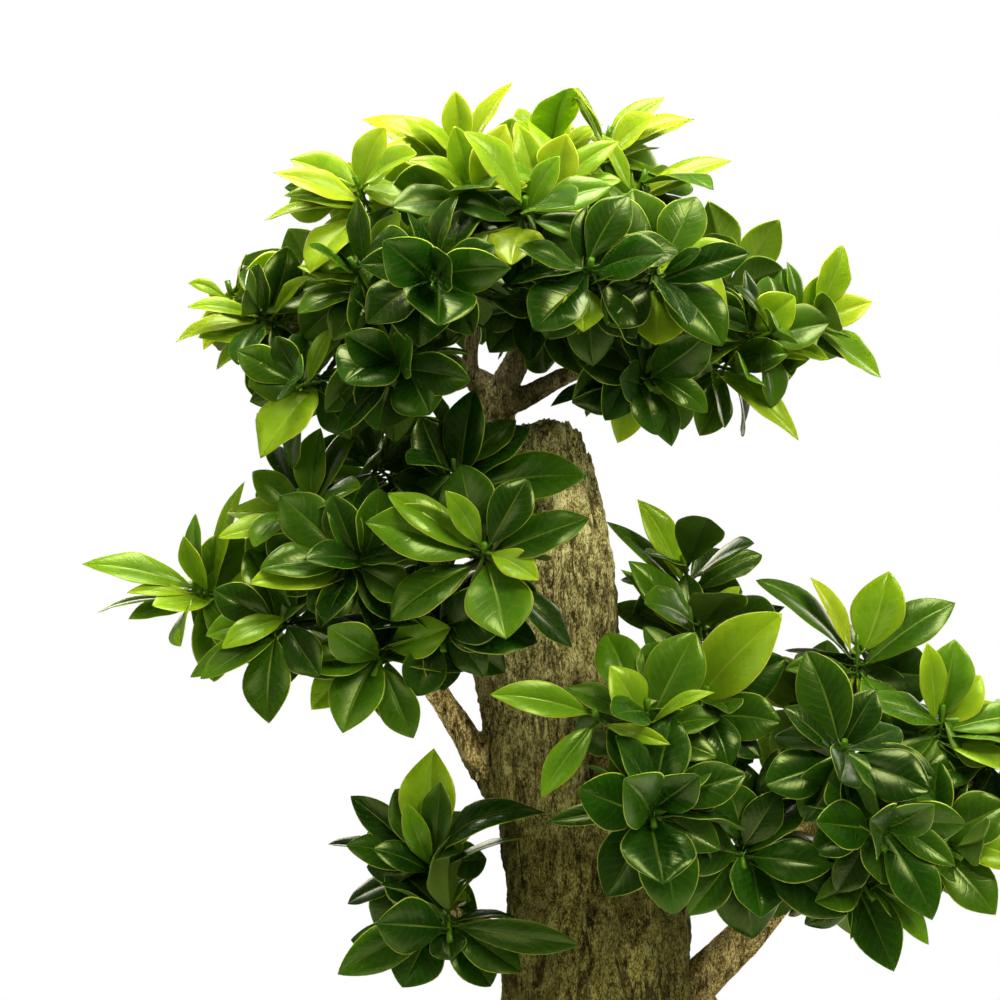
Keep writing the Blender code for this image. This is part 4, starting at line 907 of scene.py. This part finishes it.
def remeshed(name, points, faces):
    """A new object over these faces, remeshed into even small ones and rounded."""
    mesh = bpy.data.meshes.new(name)
    mesh.from_pydata(points.tolist(), [], faces.tolist())
    obj = linked(name, mesh)
    remesh = obj.modifiers.new("voxels", "REMESH")
    remesh.mode = "VOXEL"
    remesh.voxel_size = VOXEL
    remesh.adaptivity = 0.0
    apply_modifiers(obj)
    mesh = obj.data
    points = read_numbers(mesh.vertices, "co", 3).astype(float)
    points = smooth_points(points, read_numbers(mesh.edges, "vertices", 2, np.int32), 5)
    mesh.vertices.foreach_set("co", points.astype(np.float32).reshape(-1))
    mesh.update()
    return obj, points


def bark_at(place, thick):
    """How far the bark stands out, and how raised it is from 0 to 1, which the bark's colour turns into
    painted shade in the furrows. Place, thick and push in mm.
    """
    x, y, z = place
    bend = noise.noise(Vector((x / 45, y / 45, z / 90))) * 9
    tall = Vector(((x + bend) / 13, (y - bend) / 13, z / 46))
    ridge = 1 - abs(noise.fractal(tall, 0.75, 2.2, 4)) * 2.2
    furrow = unit((ridge - 0.62) / 0.38)
    grit = noise.fractal(Vector((x / 3.6, y / 3.6, z / 7.5)), 0.7, 2.0, 3)
    lump = noise.fractal(Vector((x / 42, y / 42, z / 62)), 0.8, 2.0, 3)
    size = 0.25 + 0.75 * unit((thick - 26) / 30)
    girth = min(thick / 12, 1.0)
    push = size * girth * (grit - 1.5 * furrow ** 1.6) + lump * (4.2 * size + 0.3 * girth)
    push += 6.0 * size * unit((FLARE_TOP - z / 1000) / 0.09)
    return push, unit(0.60 + 0.60 * grit - 0.30 * furrow + 0.20 * lump)


def make_wood():
    """The trunk, limbs and twigs: remeshed finely, rounded, and pushed into bark along the normals."""
    points, faces = welded(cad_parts["trunk"])
    plain = BVHTree.FromPolygons([tuple(p) for p in points], faces.tolist())
    obj, points = remeshed("trunk_bark", points, faces)
    mesh = obj.data
    normals = read_numbers(mesh.vertices, "normal", 3)
    count = len(points)
    pushes = np.zeros(count)
    thickness = np.zeros(count)
    tones = np.ones((count, 4), np.float32)
    for i in range(count):
        point, normal = Vector(points[i]), Vector(normals[i])
        _, _, _, gap = plain.ray_cast(point - normal * 0.0008, -normal, 0.16)
        thick = min(gap or MOST_THICK, MOST_THICK) * 1000
        push, raised = bark_at(point * 1000, thick)
        bole = unit((thick - 14) / 26)
        pushes[i] = push * MM
        thickness[i] = thick * MM
        # The tones: how raised the bark is, for painted shade in its furrows; how much limb rather than
        # bole it is; how thin a twig it is.
        tones[i, :3] = raised, 1 - bole * bole * (3 - 2 * bole), unit((6.5 - thick) / 3.5)
    points = points + normals * pushes[:, None]
    break_top(points, thickness > BOLE_THICK)
    mesh.vertices.foreach_set("co", points.astype(np.float32).reshape(-1))
    paint(mesh, "bark_tone", "POINT", tones)
    mesh.update()
    mesh.calc_loop_triangles()
    if len(mesh.loop_triangles) > MOST_WOOD_FACES:
        thin = obj.modifiers.new("thin", "DECIMATE")
        thin.ratio = MOST_WOOD_FACES / len(mesh.loop_triangles)
        apply_modifiers(obj)
    obj.data.shade_smooth()
    obj.data.materials.clear()
    obj.data.materials.append(bark_material())
    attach(obj, "root")
    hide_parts("trunk")
    return plain


def break_top(points, thick):
    """Turns the bole's flat top into an old break: rounded off at its rim, with splinters."""
    heights = points[:, 2]
    rim = thick & (np.abs(heights - BOLE_TOP + 0.02) < 0.006)
    middle = points[rim, :2].mean(0)
    radius = np.linalg.norm(points[rim, :2] - middle, axis=1).mean()
    near = thick & (heights > BOLE_TOP - 0.030) & (heights < BOLE_TOP + 0.010)
    near &= np.linalg.norm(points[:, :2] - middle, axis=1) < 1.5 * radius
    for i in np.flatnonzero(near):
        x, y, z = points[i]
        out = math.hypot(x - middle[0], y - middle[1]) / radius
        share = unit((z - BOLE_TOP + 0.030) / 0.026)
        wide = noise.noise(Vector((x * 34, y * 34, 1.7))) * 0.0075
        sharp = (1 - abs(noise.noise(Vector((x * 120, y * 120, 0.2)))) * 2.6) * 0.0060
        slope = -0.0045 * (x - middle[0]) / radius
        fall = -0.0045 * unit((out - 0.70) / 0.30) ** 1.5
        points[i, 2] += share * (wide + sharp + slope + fall)


def apply_modifiers(obj):
    """Makes what the modifiers show the object's own mesh."""
    graph = bpy.context.evaluated_depsgraph_get()
    made = bpy.data.meshes.new_from_object(obj.evaluated_get(graph))
    obj.modifiers.clear()
    obj.data = made


# ---- Pot and soil ----

def rounded_outline(low, high, inset, radius, z, steps):
    """A rounded rectangle's points, counter-clockwise, at height z, an inset in from both corners."""
    move = Vector((inset, inset, 0))
    low, high = low + move, high - move
    points = []
    for corner, (sx, sy) in enumerate(((1, 1), (-1, 1), (-1, -1), (1, -1))):
        x = high.x - radius if sx > 0 else low.x + radius
        y = high.y - radius if sy > 0 else low.y + radius
        for step in range(steps + 1):
            angle = math.radians(90 * corner + 90 * step / steps)
            turn = Vector((math.cos(angle), math.sin(angle), 0))
            points.append(Vector((x, y, z)) + turn * float(radius))
    return points


def circle(x, radius, z, count):
    """The points of a level circle round the place x, 0."""
    turns = np.linspace(0, math.tau, count, endpoint=False)
    return [Vector((x + radius * math.cos(t), radius * math.sin(t), z)) for t in turns]


def loft(bm, rings):
    """A closed solid over rings of as many points each."""
    placed = [[bm.verts.new(p) for p in ring] for ring in rings]
    for lower, upper in zip(placed, placed[1:]):
        for i in range(len(lower)):
            j = (i + 1) % len(lower)
            bm.faces.new((lower[i], lower[j], upper[j], upper[i]))
    bm.faces.new(placed[0][::-1])
    bm.faces.new(placed[-1])


def object_from(name, bm, material=None, sharp=40):
    bmesh.ops.recalc_face_normals(bm, faces=bm.faces[:])
    mesh = bpy.data.meshes.new(name)
    bm.to_mesh(mesh)
    bm.free()
    mesh.shade_smooth()
    mesh.set_sharp_from_angle(angle=math.radians(sharp))
    if material:
        mesh.materials.append(material)
    return linked(name, mesh)


def boolean(obj, operation, bm):
    other = object_from(obj.name + "_tool", bm)
    modifier = obj.modifiers.new("cut", "BOOLEAN")
    modifier.operation = operation
    modifier.solver = "EXACT"
    modifier.object = other
    apply_modifiers(obj)
    bpy.data.objects.remove(other)


LIP_OVERHANG = 0.007
LIP_HEIGHT = 0.013
TAPER = 0.012
WALL = 0.009
FLOOR = 0.010
CORNER = 0.024
POT_SHARP = 50
FOOT_HEIGHT = 0.010
FOOT_SIZE = Vector((0.060, 0.036, 0))
FOOT_INSET = 0.012
FOOT_CORNER = 0.008
# How far in each ring of a foot is, and its height. The last ones are inside the pot's floor.
FOOT_RINGS = (
    (0.003, 0.0), (0.0009, 0.0009), (0.0, 0.003), (0.0, 0.006), (-0.0006, 0.0095), (-0.0006, 0.014),
)
HOLE_PLACE = 0.100
HOLE_RADIUS = 0.012


def pot_sections(top):
    """The inset and height of the pot's rings: up its outside, over the lip and down its inside."""
    under_lip = top - LIP_HEIGHT

    def wall(z):
        rise = unit((z - FOOT_HEIGHT) / (under_lip - FOOT_HEIGHT))
        return float(LIP_OVERHANG + TAPER * (1 - rise) ** 1.3)

    foot = wall(FOOT_HEIGHT)
    found = [(foot + 0.003, FOOT_HEIGHT), (foot + 0.0008, FOOT_HEIGHT + 0.0008)]
    found += [(wall(z), z) for z in np.linspace(FOOT_HEIGHT + 0.003, under_lip - 0.002, 12)]
    # The lip is a soft bead with a small cove under it.
    found += [(LIP_OVERHANG - 0.0008, under_lip - 0.0006), (0.0032, under_lip + 0.0006)]
    for turn in np.linspace(-70, 70, 9):
        bulge = math.cos(math.radians(turn))
        rise = 0.5 + 0.5 * math.sin(math.radians(turn)) / math.sin(math.radians(70))
        found.append((0.0024 * (1 - bulge), under_lip + 0.001 + (LIP_HEIGHT - 0.002) * rise))
    inner = wall(top) + WALL
    found += [(0.0028, top), (inner - 0.003, top), (inner - 0.0008, top - 0.0008), (inner, top - 0.003)]
    lowest = FOOT_HEIGHT + FLOOR + 0.003
    found += [(wall(z) + WALL, z) for z in np.linspace(under_lip, lowest, 6)]
    return found + [(foot + WALL + 0.003, FOOT_HEIGHT + FLOOR)]


def make_pot():
    """A tapered pot with a rolled lip, four feet and two drain holes."""
    low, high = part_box("pot")
    body = bmesh.new()
    loft(body, [
        rounded_outline(low, high, inset, max(CORNER - inset, 0.004), z, 10)
        for inset, z in pot_sections(high.z)
    ])
    pot = object_from("pot_stoneware", body, stoneware_material(), POT_SHARP)
    feet = bmesh.new()
    inset = LIP_OVERHANG + TAPER + FOOT_INSET
    for sx, sy in ((-1, -1), (-1, 1), (1, -1), (1, 1)):
        outer = Vector((sx * (high.x - inset), sy * (high.y - inset), 0))
        inner = outer - FOOT_SIZE * Vector((sx, sy, 0))
        near, far = Vector(map(min, outer, inner)), Vector(map(max, outer, inner))
        loft(feet, [rounded_outline(near, far, by, FOOT_CORNER - by, z, 6) for by, z in FOOT_RINGS])
    boolean(pot, "UNION", feet)
    for side in (-1, 1):
        hole = bmesh.new()
        loft(hole, [circle(side * HOLE_PLACE, HOLE_RADIUS, z, 40) for z in (0.0, 0.04)])
        boolean(pot, "DIFFERENCE", hole)
    pot.data.shade_smooth()
    pot.data.set_sharp_from_angle(angle=math.radians(POT_SHARP))
    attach(pot, "root")
    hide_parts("pot")


GRAINS = 1500
SOIL_UNDER_RIM = 0.010
SOIL_RISE = 0.0065
SOIL_BUMPS = 0.0016
SOIL_RINGS = 48
BODY_TONE = 0.25


def add_granule(bm, place, size, rng):
    """One squashed and knobbly granule, and how many points it has."""
    made = bmesh.ops.create_icosphere(bm, subdivisions=1, radius=size)["verts"]
    squash = Vector((rng.uniform(0.8, 1.25), rng.uniform(0.8, 1.25), rng.uniform(0.6, 0.9)))
    for vertex in made:
        wobble = 1 + 0.22 * noise.noise(vertex.co * 900 + Vector((place.x, place.y, 0)) * 4000)
        vertex.co = vertex.co * squash * wobble + place
    return len(made)


def make_soil(wood):
    """The soil's body with an uneven top, and loose granules half sunk in it."""
    low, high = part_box("soil")
    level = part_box("pot")[1].z - SOIL_UNDER_RIM
    radius = CORNER - LIP_OVERHANG - WALL

    def surface(x, y, share):
        rise = SOIL_RISE * (1 - share ** 2)
        bumps = noise.fractal(Vector((x * 60, y * 60, 0.3)), 0.8, 2.0, 4) * SOIL_BUMPS
        return level + rise + bumps * min(1.0, (1 - share) * 12)

    sides = ((low.z, 0.0115), (low.z + 0.03, 0.006), (level - 0.004, 0.0003))
    rings = [rounded_outline(low, high, inset, radius, z, 12) for z, inset in sides]
    edge = rounded_outline(low, high, 0, radius, level, 12)
    for share in np.linspace(1.0, 0.02, SOIL_RINGS):
        places = [(p.x * share, p.y * share) for p in edge]
        rings.append([Vector((x, y, surface(x, y, share))) for x, y in places])
    bm = bmesh.new()
    loft(bm, rings)
    start = len(bm.verts)
    rng = random.Random(11)
    stones = []
    half = Vector((high.x - 0.004, high.y - 0.004, 0))
    while len(stones) < GRAINS:
        x, y = rng.uniform(-half.x, half.x), rng.uniform(-half.y, half.y)
        share = max(abs(x) / half.x, abs(y) / half.y)
        if share > 0.985:
            continue
        size = rng.uniform(0.0011, 0.0026)
        place = Vector((x, y, surface(x, y, share) + size * rng.uniform(-0.1, 0.55)))
        if not inside(wood, place):
            stones.append((add_granule(bm, place, size, rng), rng.random()))
    obj = object_from("soil_surface", bm, soil_material(), 60)
    tones = np.full((len(obj.data.vertices), 4), BODY_TONE, np.float32)
    for count, lot in stones:
        tones[start:start + count, :3] = lot
        start += count
    paint(obj.data, "grain_tone", "POINT", tones)
    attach(obj, "root")
    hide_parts("soil")


def finish_screens():
    """The screens keep their CAD shape and get a material."""
    material = screen_material()
    for side in ("left", "right"):
        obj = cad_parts[f"drainage_screen_{side}"]
        obj.data.materials.clear()
        obj.data.materials.append(material)


# ---- Stage, light and camera ----

STUDIO_MIDDLE = (0.0, 0.0, 0.5)
WARM = (1.0, 0.95, 0.80)
# The place, size and power of each soft light.
SOFTBOXES = {
    "key": ((0.95, -1.25, 1.75), 0.8, 43),
    "fill": ((-1.35, -1.15, 1.15), 1.1, 7),
    "top": ((-0.1, -0.15, 2.0), 0.9, 42),
    "back": ((-0.6, 1.5, 1.1), 1.0, 12),
    "back_right": ((1.2, 1.2, 1.0), 1.0, 10),
}
SKY_COLOUR = (1.0, 0.98, 0.76, 1.0)
SKY_STRENGTH = 0.23
WHITE = (1.0, 1.0, 1.0, 1.0)
FLOOR_RADIUS = 0.9
FLOOR_THICKNESS = 0.004


def make_lights():
    for name, (place, size, power) in SOFTBOXES.items():
        data = bpy.data.lights.new(name + "_softbox", "AREA")
        data.shape = "DISK"
        data.size = size
        data.energy = power
        data.color = WARM
        obj = linked(data.name, data)
        obj.location = place
        obj.rotation_euler = (Vector(STUDIO_MIDDLE) - obj.location).to_track_quat("-Z", "Y").to_euler()


def make_world():
    """A warm, dim sky that lights the object, and plain white where the camera sees past it."""
    world = bpy.data.worlds.new("studio")
    bpy.context.scene.world = world
    world.use_nodes = True
    tree = world.node_tree
    light = tree.nodes["Background"]
    light.inputs["Color"].default_value = SKY_COLOUR
    light.inputs["Strength"].default_value = SKY_STRENGTH
    seen = tree.nodes.new("ShaderNodeBackground")
    seen.inputs["Color"].default_value = WHITE
    path = tree.nodes.new("ShaderNodeLightPath")
    either = tree.nodes.new("ShaderNodeMixShader")
    tree.links.new(path.outputs["Is Camera Ray"], either.inputs["Fac"])
    tree.links.new(light.outputs[0], either.inputs[1])
    tree.links.new(seen.outputs[0], either.inputs[2])
    tree.links.new(either.outputs[0], tree.nodes["World Output"].inputs["Surface"])


def make_camera():
    """A level camera in front, framed as the photograph is."""
    camera = bpy.data.cameras.new("camera")
    camera.lens = 85
    camera.sensor_width = 36
    obj = linked("camera", camera)
    obj.location = (VIEW_X, -VIEW_DISTANCE, VIEW_Z)
    obj.rotation_euler = (math.radians(90), 0, 0)
    bpy.context.scene.camera = obj


def make_stage():
    bm = bmesh.new()
    loft(bm, [circle(0.0, FLOOR_RADIUS, z, 96) for z in (-FLOOR_THICKNESS, 0.0)])
    floor = object_from("studio_floor", bm, floor_material(), 30)
    make_world()
    make_lights()
    make_camera()
    bpy.context.scene.view_settings.view_transform = "Standard"
    bpy.context.scene.view_settings.look = "None"


make_stage()
wood_tree = make_wood()
make_sprays(wood_tree)
make_pot()
make_soil(wood_tree)
finish_screens()
